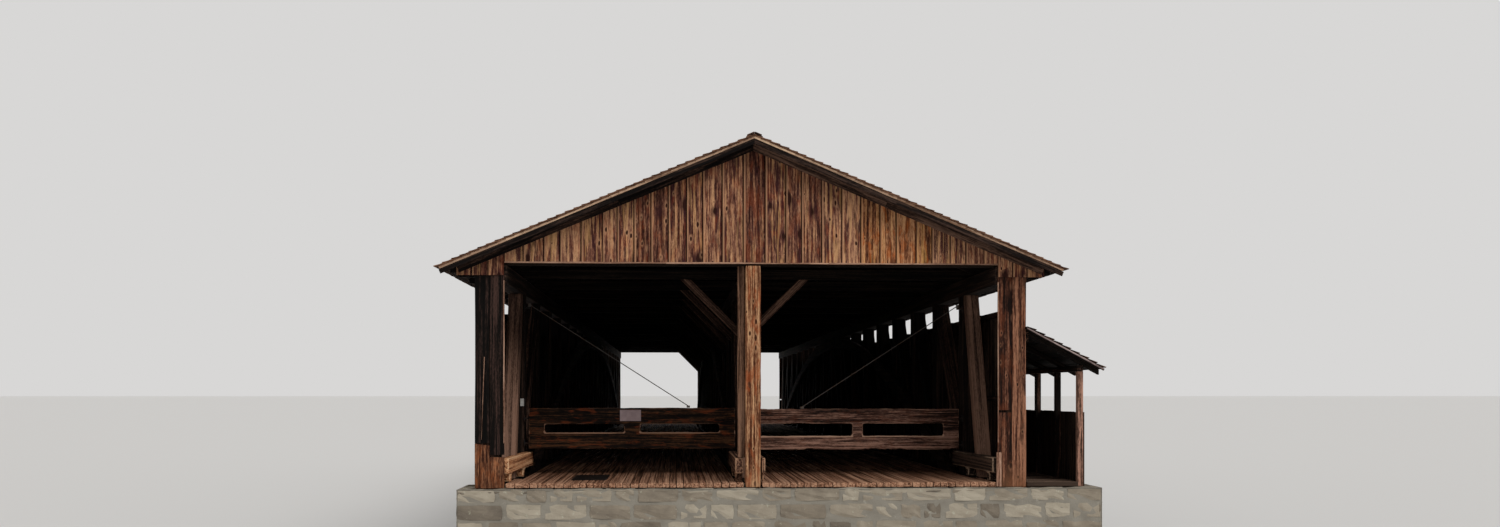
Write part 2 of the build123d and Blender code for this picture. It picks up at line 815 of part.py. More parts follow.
for side in gate_blocks:
    lower_low, lower_high = (deck_level + height for height in gate_lower_planks[side])
    upper_low, upper_high = (deck_level + height for height in gate_upper_planks[side])
    with BuildPart() as leaf:
        for low, high in ((lower_low, lower_high), (upper_low, upper_high)):
            block(gate_tip, heel, plank_front, plank_back, low, high)
        for start, width in gate_blocks[side]:
            block(start, start + width, plank_front, plank_back, lower_high, upper_low)
        if side == "left":
            mirror(about=Plane.YZ, mode=Mode.REPLACE)
    keep(leaf.part, f"{side}_gate_leaf")

    with BuildPart() as hinges:
        for level in strap_levels[side]:
            low, high = level - strap_height / 2, level + strap_height / 2
            block(axis_x - strap_length, axis_x, plank_back, plank_back + strap_thickness, low, high)
            cylinder_at(axis_x, axis_y, level, knuckle_radius, knuckle_height)
            block(axis_x - knuckle_radius, axis_x, plank_back, axis_y, low, high)
            cylinder_at(axis_x, axis_y, level, pin_radius + pin_play, knuckle_height, Mode.SUBTRACT)
        if side == "left":
            mirror(about=Plane.YZ, mode=Mode.REPLACE)
    keep(hinges.part, f"{side}_gate_straps")

    with BuildPart() as stay:
        cylinder_at(axis_x, axis_y, stay_head, knuckle_radius, knuckle_height)
        foot = Vector(gate_tip + stay_foot_place, (plank_front + plank_back) / 2, upper_high + stay_lug)
        head = Vector(axis_x - knuckle_radius / 2, axis_y, stay_head)
        run = head - foot
        with BuildSketch(Plane(origin=foot, z_dir=run)):
            Circle(stay_radius)
        extrude(amount=run.length)
        block(
            foot.X - stay_lug,
            foot.X + stay_lug,
            plank_front + stay_lug_inset,
            plank_back - stay_lug_inset,
            upper_high,
            upper_high + stay_lug + stay_radius,
        )
        cylinder_at(axis_x, axis_y, stay_head, pin_radius + pin_play, knuckle_height, Mode.SUBTRACT)
        if side == "left":
            mirror(about=Plane.YZ, mode=Mode.REPLACE)
    keep(stay.part, f"{side}_gate_stay")

with BuildPart() as gate_brackets:
    for side, sign in (("left", -1), ("right", 1)):
        pin_x = sign * axis_x
        arm_low, arm_high = sorted((pin_x, sign * inner_face))
        plate_low, plate_high = sorted((sign * (inner_face - bracket_plate), sign * inner_face))
        for level in strap_levels[side] + [stay_head]:
            arm_top = level - knuckle_height / 2 - bracket_gap
            pin_length = knuckle_height + bracket_gap
            arm_middle = arm_top - bracket_arm / 2
            cylinder_at(pin_x, axis_y, arm_middle, bracket_eye, bracket_arm)
            block(arm_low, arm_high, axis_y - bracket_eye, axis_y + bracket_eye, arm_top - bracket_arm, arm_top)
            block(
                plate_low,
                plate_high,
                axis_y - bracket_eye,
                post_near + bracket_plate_length,
                arm_middle - bracket_plate_height / 2,
                arm_middle + bracket_plate_height / 2,
            )
            cylinder_at(pin_x, axis_y, arm_top + pin_length / 2, pin_radius, pin_length)
keep(gate_brackets.part, "gate_brackets")

print(f"length {bridge_length:.0f} mm, posts {len(post_places)}, rafters {2 * len(rafter_places)}")
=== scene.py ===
"""Looks of a timber covered bridge with two lanes, three arched trusses and a lean-to footpath.

The bridge is a scale model at 1:2. All lengths are metres of the model, in the frame of its solids: the
origin is on the floor under the near portal, +X points to the footpath side, +Y along the bridge and +Z up.
"""
import json
import logging
import math
import random
from collections.abc import Callable, Iterator, Sequence
from contextlib import contextmanager
from dataclasses import KW_ONLY, dataclass, field
from enum import Enum
from functools import partial

import bmesh
import bpy
import numpy as np
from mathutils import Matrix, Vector
from mathutils.kdtree import KDTree

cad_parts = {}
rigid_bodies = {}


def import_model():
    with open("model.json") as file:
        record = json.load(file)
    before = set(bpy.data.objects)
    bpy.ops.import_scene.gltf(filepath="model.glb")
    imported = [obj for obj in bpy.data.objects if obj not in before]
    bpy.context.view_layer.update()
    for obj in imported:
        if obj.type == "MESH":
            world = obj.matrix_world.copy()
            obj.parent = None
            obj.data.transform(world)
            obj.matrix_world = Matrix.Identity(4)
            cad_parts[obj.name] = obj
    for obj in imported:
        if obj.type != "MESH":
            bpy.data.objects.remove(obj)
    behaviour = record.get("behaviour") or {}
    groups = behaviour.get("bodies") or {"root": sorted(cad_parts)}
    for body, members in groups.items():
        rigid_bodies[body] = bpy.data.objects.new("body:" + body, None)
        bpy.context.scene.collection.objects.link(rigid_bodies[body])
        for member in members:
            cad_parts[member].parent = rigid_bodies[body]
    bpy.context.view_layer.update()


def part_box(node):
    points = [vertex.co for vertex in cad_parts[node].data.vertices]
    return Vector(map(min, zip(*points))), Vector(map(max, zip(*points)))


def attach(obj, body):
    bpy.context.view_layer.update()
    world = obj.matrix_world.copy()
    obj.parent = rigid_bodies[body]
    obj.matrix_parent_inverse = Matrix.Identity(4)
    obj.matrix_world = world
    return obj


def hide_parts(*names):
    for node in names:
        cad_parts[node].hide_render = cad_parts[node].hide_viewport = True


SPAN = 25.55                       # from one portal to the other
LAYER = 0.015                      # thickness of a solid that boards stand for
BOARD = 0.0145                     # thickness of those boards
GAP = 0.003                        # at the ends and sides of most boards
HAIR = 0.0003                      # keeps the faces of two layers apart
SHIFT = 40.0                       # how far grain is moved at random, so that no two boards are alike
SCATTER = 977.0                    # parts tones that lie close together before chance is drawn from them

UPRIGHT = ((1, 0, 0), (0, 1, 0), (0, 0, 1))         # width along X, length along Z
SIDE_ON = ((0, 1, 0), (-1, 0, 0), (0, 0, 1))        # width along Y, length along Z
LENGTHWISE = ((1, 0, 0), (0, 0, -1), (0, 1, 0))     # width along X, length along Y
CROSSWISE = ((0, 1, 0), (0, 0, 1), (1, 0, 0))       # width along Y, length along X
ON_EDGE = ((0, 0, 1), (0, 1, 0), (1, 0, 0))         # width along Z, length along X

Colour = tuple[float, float, float, float]
Point = tuple[float, float, float]
Range = tuple[float, float]
Socket = bpy.types.NodeSocket
Test = Callable[[np.ndarray], bool]
Tones = Callable[[np.ndarray, random.Random], float]
Shaping = Callable[[np.ndarray], np.ndarray]

log = logging.getLogger("covered_bridge")


def linear(code: str) -> Colour:
    """Turn an sRGB hex colour, six digits after a hash, into linear values and an alpha of 1."""
    parts = [int(code[start:start + 2], 16) / 255 for start in (1, 3, 5)]
    return (*(part / 12.92 if part <= 0.04045 else ((part + 0.055) / 1.055) ** 2.4 for part in parts), 1.0)


class Kind(Enum):
    """Shader nodes: type, inputs in the order in which they are given, output that is used, and settings."""

    PLUS = ("Math", (0, 1), 0, {"operation": "ADD"})
    LESS = ("Math", (0, 1), 0, {"operation": "SUBTRACT"})
    TIMES = ("Math", (0, 1), 0, {"operation": "MULTIPLY"})
    OVER = ("Math", (0, 1), 0, {"operation": "DIVIDE"})
    TIMES_PLUS = ("Math", (0, 1, 2), 0, {"operation": "MULTIPLY_ADD"})
    UNSIGNED = ("Math", (0,), 0, {"operation": "ABSOLUTE"})
    LARGER = ("Math", (0, 1), 0, {"operation": "MAXIMUM"})
    WINDOW = ("MapRange", (0, 1, 2, 3, 4), 0, {"interpolation_type": "SMOOTHSTEP"})
    BLEND = ("Mix", (0, 6, 7), 2, {"data_type": "RGBA"})
    BAND = ("ValToRGB", (0,), 0, {})
    STRETCH = ("Mapping", (0, 3), 0, {})
    NOISE = ("TexNoise", ("Vector", "Scale", "Detail", "Roughness", "Distortion"), 0, {})
    CELLS = ("TexVoronoi", ("Vector", "Scale", "Randomness"), "Distance", {})
    CHANCE = ("TexWhiteNoise", ("W",), 0, {"noise_dimensions": "1D"})
    SPLIT = ("SeparateColor", (0,), 0, {})
    SPLIT_PLACE = ("SeparateXYZ", (0,), "Z", {})
    PLACE = ("TexCoord", (), "Object", {})
    GRAIN = ("Attribute", (), "Vector", {"attribute_name": "grain"})
    TONE = ("Attribute", (), "Fac", {"attribute_name": "tone"})
    ACROSS = ("Attribute", (), "Fac", {"attribute_name": "across"})
    EDGE = ("Attribute", (), "Fac", {"attribute_name": "edge"})
    BUMP = ("Bump", ("Height", "Distance", "Strength"), 0, {})
    SKY = ("Background", ("Color", "Strength"), 0, {})
    RAYS = ("LightPath", (), "Is Camera Ray", {})
    BLEND_SKIES = ("MixShader", (0, 1, 2), 0, {})


def add_node(tree: bpy.types.NodeTree, kind: Kind, *inputs: object) -> Socket:
    """Add a node with its settings and links.

    Args:
        tree: Node tree that the node joins.
        kind: Kind of node.
        inputs: For each of the kind's inputs in turn, a socket to link or a plain value.

    Returns:
        The kind's output. The others are found through its node.
    """
    name, slots, output, settings = kind.value
    node = tree.nodes.new(f"ShaderNode{name}")
    for setting, value in settings.items():
        setattr(node, setting, value)
    for slot, value in zip(slots, inputs):
        if isinstance(value, Socket):
            tree.links.new(value, node.inputs[slot])
        else:
            node.inputs[slot].default_value = value
    return node.outputs[output]


def marks(tree: bpy.types.NodeTree, source: Socket, across: float, along: float, detail: float = 4.0,
          rough: float = 0.6, warp: float = 0.0) -> Socket:
    """Make a soft random value whose marks have a real size.

    Args:
        tree: Node tree of the material.
        source: Coordinates in metres, with the grain along Z.
        across: Width of one mark.
        along: Length of one mark.
        detail: Finer layers.
        rough: Strength of the finer layers.
        warp: Distortion.

    Returns:
        The socket of the value.
    """
    cells = add_node(tree, Kind.STRETCH, source, (1 / across, 1 / across, 1 / along))
    return add_node(tree, Kind.NOISE, cells, 1.0, detail, rough, warp)


@dataclass(frozen=True)
class Recipe:
    """What every finish has. Its pattern says how the colour and the height of the surface vary."""

    name: str
    _: KW_ONLY
    roughness: float = 0.9
    sheen: float = 0.5             # how much light a bare surface throws back
    metallic: float = 0.0
    relief: float = 0.001          # depth of the surface
    bite: float = 0.5              # share of that depth that shows

    def pattern(self, tree: bpy.types.NodeTree) -> tuple[Socket, Socket]:
        """Give the colour and the height of the surface."""
        raise NotImplementedError

    def shaded(self, tree: bpy.types.NodeTree, level: Socket, places: Point) -> Socket:
        """Colour a level from 0 to 1 with the finish's dark, body and light, each at its place."""
        colour = add_node(tree, Kind.BAND, level)
        stops = colour.node.color_ramp.elements
        stops.new(places[1])
        for stop, place, code in zip(stops, places, (self.dark, self.body, self.light)):
            stop.position, stop.color = place, linear(code)
        return colour

    def material(self) -> bpy.types.Material:
        """Build the finish."""
        material = bpy.data.materials.new(self.name)
        material.use_nodes = True
        tree = material.node_tree
        shader = tree.nodes["Principled BSDF"].inputs
        colour, height = self.pattern(tree)
        tree.links.new(colour, shader["Base Color"])
        tree.links.new(add_node(tree, Kind.BUMP, height, self.relief, self.bite), shader["Normal"])
        shader["Roughness"].default_value = self.roughness
        shader["Metallic"].default_value = self.metallic
        shader["Specular IOR Level"].default_value = self.sheen
        return material


@dataclass(frozen=True)
class WeatheredWood(Recipe):
    """Softwood as it was sawn and never painted: rain has run down its grain and left dark tails.

    Every wooden piece carries its own grain coordinates and a tone, so that each board differs from its
    neighbour. Dry, open grain throws hardly any light back.
    """

    dark: str
    body: str
    light: str
    stain: str = "#2a160e"
    stain_share: float = 0.7
    rust: str = "#8e4a20"
    rust_share: float = 0.0
    _: KW_ONLY
    rust_size: float = 0.05
    rust_from: float = 0.5         # the higher, the fewer patches of rust
    gold: str | None = None        # cast of the boards that the sun has turned yellow
    rim: float = 0.0               # how dark the dirt along both edges of a board is
    streak: float = 0.024          # width of a streak
    streak_length: float = 0.55
    contrast: float = 1.0
    waver: float = 0.2             # how far the streaks stray
    knots: float = 0.0             # share of the places for a knot that have one
    pins: float = 0.0              # share of the places for a pin knot that have one
    spread: float = 0.4            # difference between boards
    worn: str | None = None        # colour where feet and wheels rub the foot of a piece
    worn_below: float = 0.0        # height over the floor under which it is worn
    edge: str | None = None        # colour of edges: rubbed bright, and partly a painted highlight
    roughness: float = 0.88
    sheen: float = 0.12
    relief: float = 0.0025
    bite: float = 0.9

    def pattern(self, tree: bpy.types.NodeTree) -> tuple[Socket, Socket]:
        """Lay streaks, and over them stains, rust, knots, dirt and wear."""
        add = partial(add_node, tree)
        grain, tone = add(Kind.GRAIN), add(Kind.TONE)
        along = partial(marks, tree, grain)
        chance = add(Kind.CHANCE, add(Kind.TIMES, tone, SCATTER))
        length = self.streak_length
        broad = along(self.streak, length, warp=self.waver)
        fine = along(0.007, length * 0.42, rough=0.65, warp=0.2)
        blots = along(0.042, length * 0.7, 5.0, 0.66, self.waver + 0.1)
        # Cells torn open by frost are finer than this; they are drawn as coarse as they need to show.
        fuzz = along(0.009, 0.035, 3.0, 0.7)
        fibres = add(Kind.PLUS, add(Kind.WINDOW, fine, 0.32, 0.68, -0.25, 0.25),
                     add(Kind.WINDOW, fuzz, 0.3, 0.7, -0.2, 0.2))
        half = 0.15 / self.contrast
        streaks = add(Kind.WINDOW, broad, 0.5 - half, 0.5 + half, 0.08, 0.85)
        level = add(Kind.TIMES_PLUS, add(Kind.LESS, tone, 0.5), self.spread, add(Kind.PLUS, streaks, fibres))
        colour = self.shaded(tree, level, (0.0, 0.45, 1.0))
        height = add(Kind.TIMES_PLUS, fine, 0.8, broad)
        run = add(Kind.TIMES_PLUS, add(Kind.LESS, chance, 0.5), 0.16, blots)
        layers = [(add(Kind.WINDOW, run, 0.52, 0.61, 0.0, self.stain_share), self.stain)]
        if self.gold:
            cast = add(Kind.WINDOW, chance, 0.35, 0.95, 0.15, 0.5)
            layers.append((add(Kind.TIMES, cast, add(Kind.WINDOW, broad, 0.50, 0.62, 0.0, 1.0)), self.gold))
        if self.rust_share:
            spots = along(self.rust_size, self.rust_size * 3.5, warp=0.6)
            patch = add(Kind.WINDOW, spots, self.rust_from, self.rust_from + 0.12, 0.0, self.rust_share)
            layers.append((add(Kind.TIMES, patch, add(Kind.WINDOW, fine, 0.36, 0.56, 0.25, 1.0)), self.rust))
        if self.knots:
            heart, halo = self.knot(tree, grain, (0.13, 0.24), self.knots, fine)
            layers += [(add(Kind.TIMES, halo, 0.7), self.stain), (heart, self.dark)]
            height = add(Kind.LESS, height, heart)
        if self.pins:
            heart, halo = self.knot(tree, grain, (0.045, 0.10), self.pins, broad)
            layers += [(add(Kind.TIMES, halo, 0.35), self.light), (heart, self.dark)]
        if self.rim:
            side = add(Kind.ACROSS)
            stray = add(Kind.TIMES, add(Kind.LESS, broad, 0.5), 0.16)
            out = add(Kind.PLUS, add(Kind.UNSIGNED, side), stray)
            layers += [(add(Kind.WINDOW, add(Kind.LESS, stray, side), 0.72, 0.86, 0.0, 0.6), self.light),
                       (add(Kind.WINDOW, out, 0.88, 0.97, 0.0, self.rim), self.dark)]
        if self.worn:
            up = add(Kind.TIMES_PLUS, broad, 0.4, add(Kind.SPLIT_PLACE, add(Kind.PLACE)))
            layers.append((add(Kind.WINDOW, up, self.worn_below - 0.1, self.worn_below + 0.35, 0.7, 0.0),
                           self.worn))
        if self.edge:
            # Edges lighter: partly rubbed wear, partly a painted highlight where light catches them.
            near = add(Kind.TIMES, add(Kind.EDGE), add(Kind.WINDOW, blots, 0.36, 0.6, 0.35, 1.25))
            layers.append((add(Kind.WINDOW, near, 0.25, 0.6, 0.0, 0.9), self.edge))
        for share, code in layers:
            colour = add(Kind.BLEND, share, colour, linear(code))
        return colour, height

    @staticmethod
    def knot(tree: bpy.types.NodeTree, grain: Socket, room: Range, share: float,
             ragged_by: Socket) -> tuple[Socket, Socket]:
        """Scatter knots of uneven size and outline.

        Args:
            tree: Node tree of the material.
            grain: Coordinates along the grain.
            room: Width and length of the place for one knot.
            share: Share of the places that have one.
            ragged_by: Noise that makes the outlines uneven.

        Returns:
            How far a point is in a knot's heart, and how far in the halo round it.
        """
        add = partial(add_node, tree)
        cells = add(Kind.STRETCH, grain, (1 / room[0], 1 / room[0], 1 / room[1]))
        distance = add(Kind.CELLS, cells, 1.0, 1.0)
        cast = add(Kind.SPLIT, distance.node.outputs["Color"])
        there = add(Kind.WINDOW, cast, 1.0 - share, 1.02 - share, 0.0, 1.0)
        swell = add(Kind.TIMES_PLUS, cast.node.outputs[1], 0.9, 0.35)
        rough = add(Kind.TIMES_PLUS, ragged_by, 1.4, 0.3)
        away = add(Kind.TIMES, add(Kind.OVER, distance, swell), rough)
        heart = add(Kind.TIMES, add(Kind.WINDOW, away, 0.15, 0.22, 1.0, 0.0), there)
        return heart, add(Kind.TIMES, add(Kind.WINDOW, away, 0.20, 0.50, 1.0, 0.0), there)


@dataclass(frozen=True)
class RubbleStone(Recipe):
    """Field stone laid in lime mortar: each stone has its own cast, a gritty face and paler lichen."""

    dark: str = "#5a5147"
    body: str = "#857a6a"
    light: str = "#aaa08e"
    lichen: str = "#b9b8a4"
    _: KW_ONLY
    roughness: float = 0.92
    relief: float = 0.006
    bite: float = 0.7

    def pattern(self, tree: bpy.types.NodeTree) -> tuple[Socket, Socket]:
        """Give each stone its cast, and lay lichen over it."""
        add = partial(add_node, tree)
        around = partial(marks, tree, add(Kind.PLACE))
        grit = around(0.012, 0.012, 5.0, 0.7)
        cast = around(0.16, 0.09, warp=0.4)
        level = add(Kind.PLUS, add(Kind.TIMES, add(Kind.TONE), 0.6), add(Kind.TIMES, cast, 0.6))
        spots = add(Kind.WINDOW, around(0.05, 0.05, 5.0, 0.7), 0.6, 0.7, 0.0, 0.55)
        stone = self.shaded(tree, level, (0.2, 0.55, 0.95))
        return add(Kind.BLEND, spots, stone, linear(self.lichen)), grit


@dataclass(frozen=True)
class ForgedIron(Recipe):
    """Iron worked hot and left bare: a dark scale with rust where it is thin."""

    scale: str
    rust: str
    _: KW_ONLY
    roughness: float = 0.68
    metallic: float = 0.55

    def pattern(self, tree: bpy.types.NodeTree) -> tuple[Socket, Socket]:
        """Let rust through the scale in blots."""
        around = partial(marks, tree, add_node(tree, Kind.PLACE))
        blots = add_node(tree, Kind.WINDOW, around(0.05, 0.05, rough=0.65), 0.48, 0.64, 0.0, 0.9)
        colour = add_node(tree, Kind.BLEND, blots, linear(self.scale), linear(self.rust))
        return colour, around(0.006, 0.006, rough=0.7)


@dataclass(frozen=True)
class OilPaint(Recipe):
    """Brushed oil paint on a board: a flat colour, streaked by the brush and faded by the sun."""

    colour: str
    faded: str
    _: KW_ONLY
    roughness: float = 0.6
    relief: float = 0.0006
    bite: float = 0.4
    strokes: Point = (6.0, 60.0, 240.0)      # strokes of the brush to a metre, each way

    def pattern(self, tree: bpy.types.NodeTree) -> tuple[Socket, Socket]:
        """Fade the paint in patches and draw the brush across it."""
        add = partial(add_node, tree)
        place = add(Kind.PLACE)
        brush = add(Kind.NOISE, add(Kind.STRETCH, place, self.strokes), 1.0, 4.0, 0.6, 0.0)
        faded = add(Kind.TIMES_PLUS, brush, 0.5, marks(tree, place, 0.08, 0.08))
        share = add(Kind.WINDOW, faded, 0.5, 1.0, 0.0, 1.0)
        return add(Kind.BLEND, share, linear(self.colour), linear(self.faded)), brush


class Finish(Enum):
    """Every finish of the bridge."""

    GABLE = WeatheredWood(
        "weathered_gable_boards", "#2a130d", "#6d4537", "#bd8e6b", "#34181b", 0.85, "#a5481a", 0.2,
        streak=0.020, streak_length=0.45, contrast=0.75, knots=0.35, pins=0.35, spread=0.6, gold="#bc8f5a",
        rim=0.65)
    GABLE_RUSTY = WeatheredWood(
        "rusty_gable_boards", "#2a130b", "#75472e", "#c39067", "#2f160e", 0.8, "#a9551c", 0.6,
        rust_size=0.055, streak=0.020, streak_length=0.45, contrast=0.75, knots=0.4, pins=0.3, spread=0.6,
        gold="#bd8a48", rim=0.65)
    CORNER_LEFT = WeatheredWood(
        "sooty_corner_boards", "#040302", "#0f0a07", "#43302a", "#080504", 0.6, streak=0.03,
        streak_length=1.3, spread=0.6)
    CORNER_RIGHT = WeatheredWood(
        "red_brown_corner_boards", "#150a06", "#4b2b1f", "#96684f", "#1b0e09", 0.7, "#7d4023", 0.3,
        rust_size=0.07, streak=0.022, streak_length=0.8, knots=0.3, pins=0.3, spread=0.9, worn="#8a5f42",
        worn_below=1.15)
    CORNER_BASE = WeatheredWood(
        "pieced_in_corner_boards", "#2b160d", "#5c3724", "#9a6b4c", "#2c160d", 0.5, "#8d4b24", 0.4,
        streak=0.02, streak_length=0.3, spread=0.3, pins=0.3)
    ARRIS = WeatheredWood(
        "bleached_edge_strips", "#4a2f22", "#8a6653", "#b4907a", "#3f271b", 0.4, streak=0.02,
        streak_length=0.5)
    CENTRE = WeatheredWood(
        "worn_centre_post", "#371a0d", "#754a32", "#be936c", "#46200f", 0.7, "#94431a", 0.55, streak=0.018,
        streak_length=0.55, contrast=1.2, knots=0.2, pins=0.4, worn="#a07a5c", worn_below=1.1)
    SIDE_PLANK = WeatheredWood(
        "shaded_side_plank", "#1c0f09", "#442e21", "#80604c", "#23150e", 0.5, streak=0.018,
        streak_length=0.9, contrast=1.2)
    CORNER_POST = WeatheredWood("dark_corner_posts", "#0c0806", "#241810", "#4b352a", streak_length=1.2)
    RAKE = WeatheredWood("bleached_rake_strips", "#7b5d49", "#ad8d75", "#d6b595", "#6d5040", 0.4)
    DRIP = WeatheredWood("bleached_drip_boards", "#5f4335", "#94705b", "#b8937b", "#5a3f32", 0.5)
    LEAN_RAKE = WeatheredWood("grey_rake_strips", "#5a4c49", "#8c7a76", "#b3a29c", "#564845", 0.4)
    # Near black: painted shade of the roof's overhang, on the boards under the rake strips.
    FLY = WeatheredWood("dark_rake_boards", "#0a0605", "#1a110d", "#43322a", "#0b0706", 0.5)
    PACKING = WeatheredWood(
        "rake_packing", "#4a2c1e", "#7a523d", "#a2785c", "#43281b", 0.5, streak_length=0.2)
    FRIEZE = WeatheredWood("dark_frieze_boards", "#0d0807", "#3b2921", "#775a4b", "#140d09", 0.5, spread=1.0)
    SHINGLE = WeatheredWood(
        "split_shingles", "#160e0b", "#37251d", "#805e49", "#20140f", 0.35, streak=0.012, streak_length=0.3,
        spread=0.9, relief=0.0015)
    # Dark: old timber, with the shade inside the bridge painted into its colour.
    TRUSS = WeatheredWood(
        "old_truss_timber", "#0c0807", "#231914", "#47352b", "#0d0907", 0.5, streak=0.03, streak_length=1.1)
    # Near black: the shade under the roofs painted into the colour of tie beams, rafters and sheathing.
    TIE = WeatheredWood("painted_shade_tie_beams", "#050404", "#120d0a", "#2b211b", "#060404", 0.5, streak_length=1.1)
    # Its tones paint daylight near the portals, and shade further in and towards the heads.
    BRACE = WeatheredWood(
        "brown_end_braces", "#0c0807", "#48342b", "#8c6b59", "#1e130e", 0.35, streak=0.03,
        streak_length=1.4, spread=1.1, contrast=0.7)
    FOOTPATH = WeatheredWood(
        "footpath_posts_and_rails", "#100b08", "#4a3328", "#b08470", "#1c120d", 0.35, streak_length=0.6,
        spread=1.1)
    SIDING = WeatheredWood(
        "weathered_siding", "#1e1511", "#4d3c32", "#826b5a", "#1e1511", 0.5, knots=0.2, pins=0.2,
        spread=0.75, rim=0.8)
    PARAPET = WeatheredWood("shaded_parapet_boards", "#0d0907", "#2a1f19", "#4d3d32", "#0d0907", 0.5, rim=0.7)
    GATE_LEFT = WeatheredWood(
        "dark_gate_planks", "#070403", "#1b110b", "#50331f", "#0a0604", 0.6, "#6d3319", 0.75,
        rust_size=0.055, rust_from=0.54, streak=0.012, streak_length=0.5, edge="#8f6c57")
    GATE_RIGHT = WeatheredWood(
        "bare_gate_planks", "#1b110d", "#583d33", "#a07a68", "#160d0a", 0.6, "#6d3a24", 0.3, streak=0.016,
        streak_length=0.5, contrast=1.2, knots=0.2, spread=0.7, rust_size=0.03, edge="#b8937b")
    # Pale: painted light on the left guards.
    GUARD_LEFT = WeatheredWood(
        "lit_guard_timber", "#5f3722", "#c68c62", "#e6b98e", "#5a341d", 0.5, "#9c5930", 0.3,
        streak=0.018, streak_length=3.0, edge="#d8b18a")
    # Dark: painted shade on the right guards.
    GUARD_RIGHT = WeatheredWood(
        "shaded_guard_timber", "#110c09", "#2c211b", "#5d493c", "#120c0a", 0.5, streak=0.018,
        streak_length=3.0, edge="#ab9079")
    GUARD_MIDDLE = WeatheredWood(
        "rubbed_guard_timber", "#25150d", "#5b3e31", "#97715a", "#25150d", 0.5, streak=0.018,
        streak_length=1.5, edge="#a98367")
    DECK = WeatheredWood(
        "trodden_deck_planks", "#33200f", "#845b45", "#b88e72", "#3a2519", 0.4, streak=0.014,
        streak_length=2.0, spread=0.6)
    SIGN = OilPaint("mauve_grey_paint", "#7d696a", "#948080")
    WHITE = OilPaint("white_paint", "#b9b6b0", "#cfccc6")
    IRON = ForgedIron("forged_iron", "#1c1918", "#3f2619")
    STAY = ForgedIron("dull_stay_rod", "#55504c", "#54402f", roughness=0.6, metallic=0.35)
    PLATE = ForgedIron("dark_steel_plate", "#1b1716", "#33241c", roughness=0.5, metallic=0.6)
    STONE = RubbleStone("rubble_stone")
    MORTAR = RubbleStone("lime_mortar", "#6e675c", "#8a8478", "#9b968b", "#a5a093")

    @property
    def made(self) -> bpy.types.Material:
        """The material, built when it is first asked for."""
        return bpy.data.materials.get(self.value.name) or self.value.material()


class Body(Enum):
    """Bodies of the bridge that pieces ride on."""

    BRIDGE = "bridge"
    LEFT_GATE = "left_gate"
    RIGHT_GATE = "right_gate"


class Pick(Enum):
    """What is selected in edit mode, and what a mesh calls it."""

    POINTS = ("VERT", "vertices")
    EDGES = ("EDGE", "edges")
    FACES = ("FACE", "polygons")


def deselect() -> None:
    """Leave edit mode and deselect everything."""
    if bpy.context.object and bpy.context.object.mode != "OBJECT":
        bpy.ops.object.mode_set(mode="OBJECT")
    bpy.ops.object.select_all(action="DESELECT")


@contextmanager
def editing(piece: bpy.types.Object, pick: Pick = Pick.POINTS,
            wanted: Callable[[bpy.types.Mesh], Sequence[bool]] | None = None) -> Iterator[None]:
    """Work on the active object in edit mode, with some of it selected.

    Args:
        piece: The active object.
        pick: What is selected.
        wanted: Says of each of them whether it is. All are, if it isn't given.
    """
    kind, name = pick.value
    bpy.ops.object.mode_set(mode="EDIT")
    bpy.ops.mesh.select_mode(type=kind)
    bpy.ops.mesh.select_all(action="DESELECT" if wanted else "SELECT")
    if wanted:
        bpy.ops.object.mode_set(mode="OBJECT")
        getattr(piece.data, name).foreach_set("select", wanted(piece.data))
        bpy.ops.object.mode_set(mode="EDIT")
    yield
    bpy.ops.object.mode_set(mode="OBJECT")


def upright(mesh: bpy.types.Mesh) -> list[bool]:
    """Say of each edge of a mesh whether it runs along Z."""
    ends = [[mesh.vertices[number].co for number in edge.vertices] for edge in mesh.edges]
    return [abs(a.x - b.x) < 1e-6 and abs(a.y - b.y) < 1e-6 for a, b in ends]


def block(name: str, size: Sequence[float], centre: Sequence[float] = (0, 0, 0)) -> bpy.types.Object:
    """Start a piece from a block, with its place in its mesh."""
    deselect()
    bpy.ops.mesh.primitive_cube_add(size=1, location=centre, scale=size)
    bpy.ops.object.transform_apply()
    piece = bpy.context.object
    piece.name = piece.data.name = name
    return piece


def alter(piece: bpy.types.Object, kind: str, **settings: object) -> None:
    """Give the active object a modifier with its settings, and apply it."""
    modifier = piece.modifiers.new(kind.lower(), kind)
    for name, value in settings.items():
        setattr(modifier, name, value)
    bpy.ops.object.modifier_apply(modifier=modifier.name)


def points_of(node: str) -> np.ndarray:
    """Places of the points of a node or a piece."""
    return np.array([vertex.co for vertex in bpy.data.objects[node].data.vertices])


def levels(node: str, axis: int) -> list[float]:
    """The places along one axis that a node has points at, from the lowest up."""
    return np.unique(np.round(points_of(node)[:, axis], 4)).tolist()


def middle_of(points: np.ndarray) -> np.ndarray:
    """Middle of the box round some points."""
    return (points.max(0) + points.min(0)) / 2


def note(mesh: bpy.types.Mesh, name: str, values: np.ndarray) -> None:
    """Write one number, or three, at each point of a mesh."""
    kind, place = ("FLOAT_VECTOR", "vector") if values.ndim > 1 else ("FLOAT", "value")
    layer = mesh.attributes.get(name) or mesh.attributes.new(name, kind, "POINT")
    layer.data.foreach_set(place, values.astype(np.float32).ravel())


def noted(mesh: bpy.types.Mesh, name: str) -> np.ndarray:
    """Read the number at each point of a mesh."""
    return np.array([entry.value for entry in mesh.attributes[name].data])


def inward(y: float) -> float:
    """How far a place lies in from the nearer portal."""
    return np.minimum(y, SPAN - y)


def boards(draw: random.Random, start: float, end: float, narrow: float, wide: float) -> Iterator[Range]:
    """Cut a breadth into boards of uneven width.

    Args:
        draw: Random draws.
        start: Where the breadth starts.
        end: Where it ends.
        narrow: Least width.
        wide: Greatest width.

    Returns:
        The middle and the width of each board in turn.
    """
    widths: list[float] = []
    while sum(widths) < end - start:
        widths.append(draw.uniform(narrow, wide))
    at = start
    for width in [width * (end - start) / sum(widths) for width in widths]:
        yield at + width / 2, width
        at += width


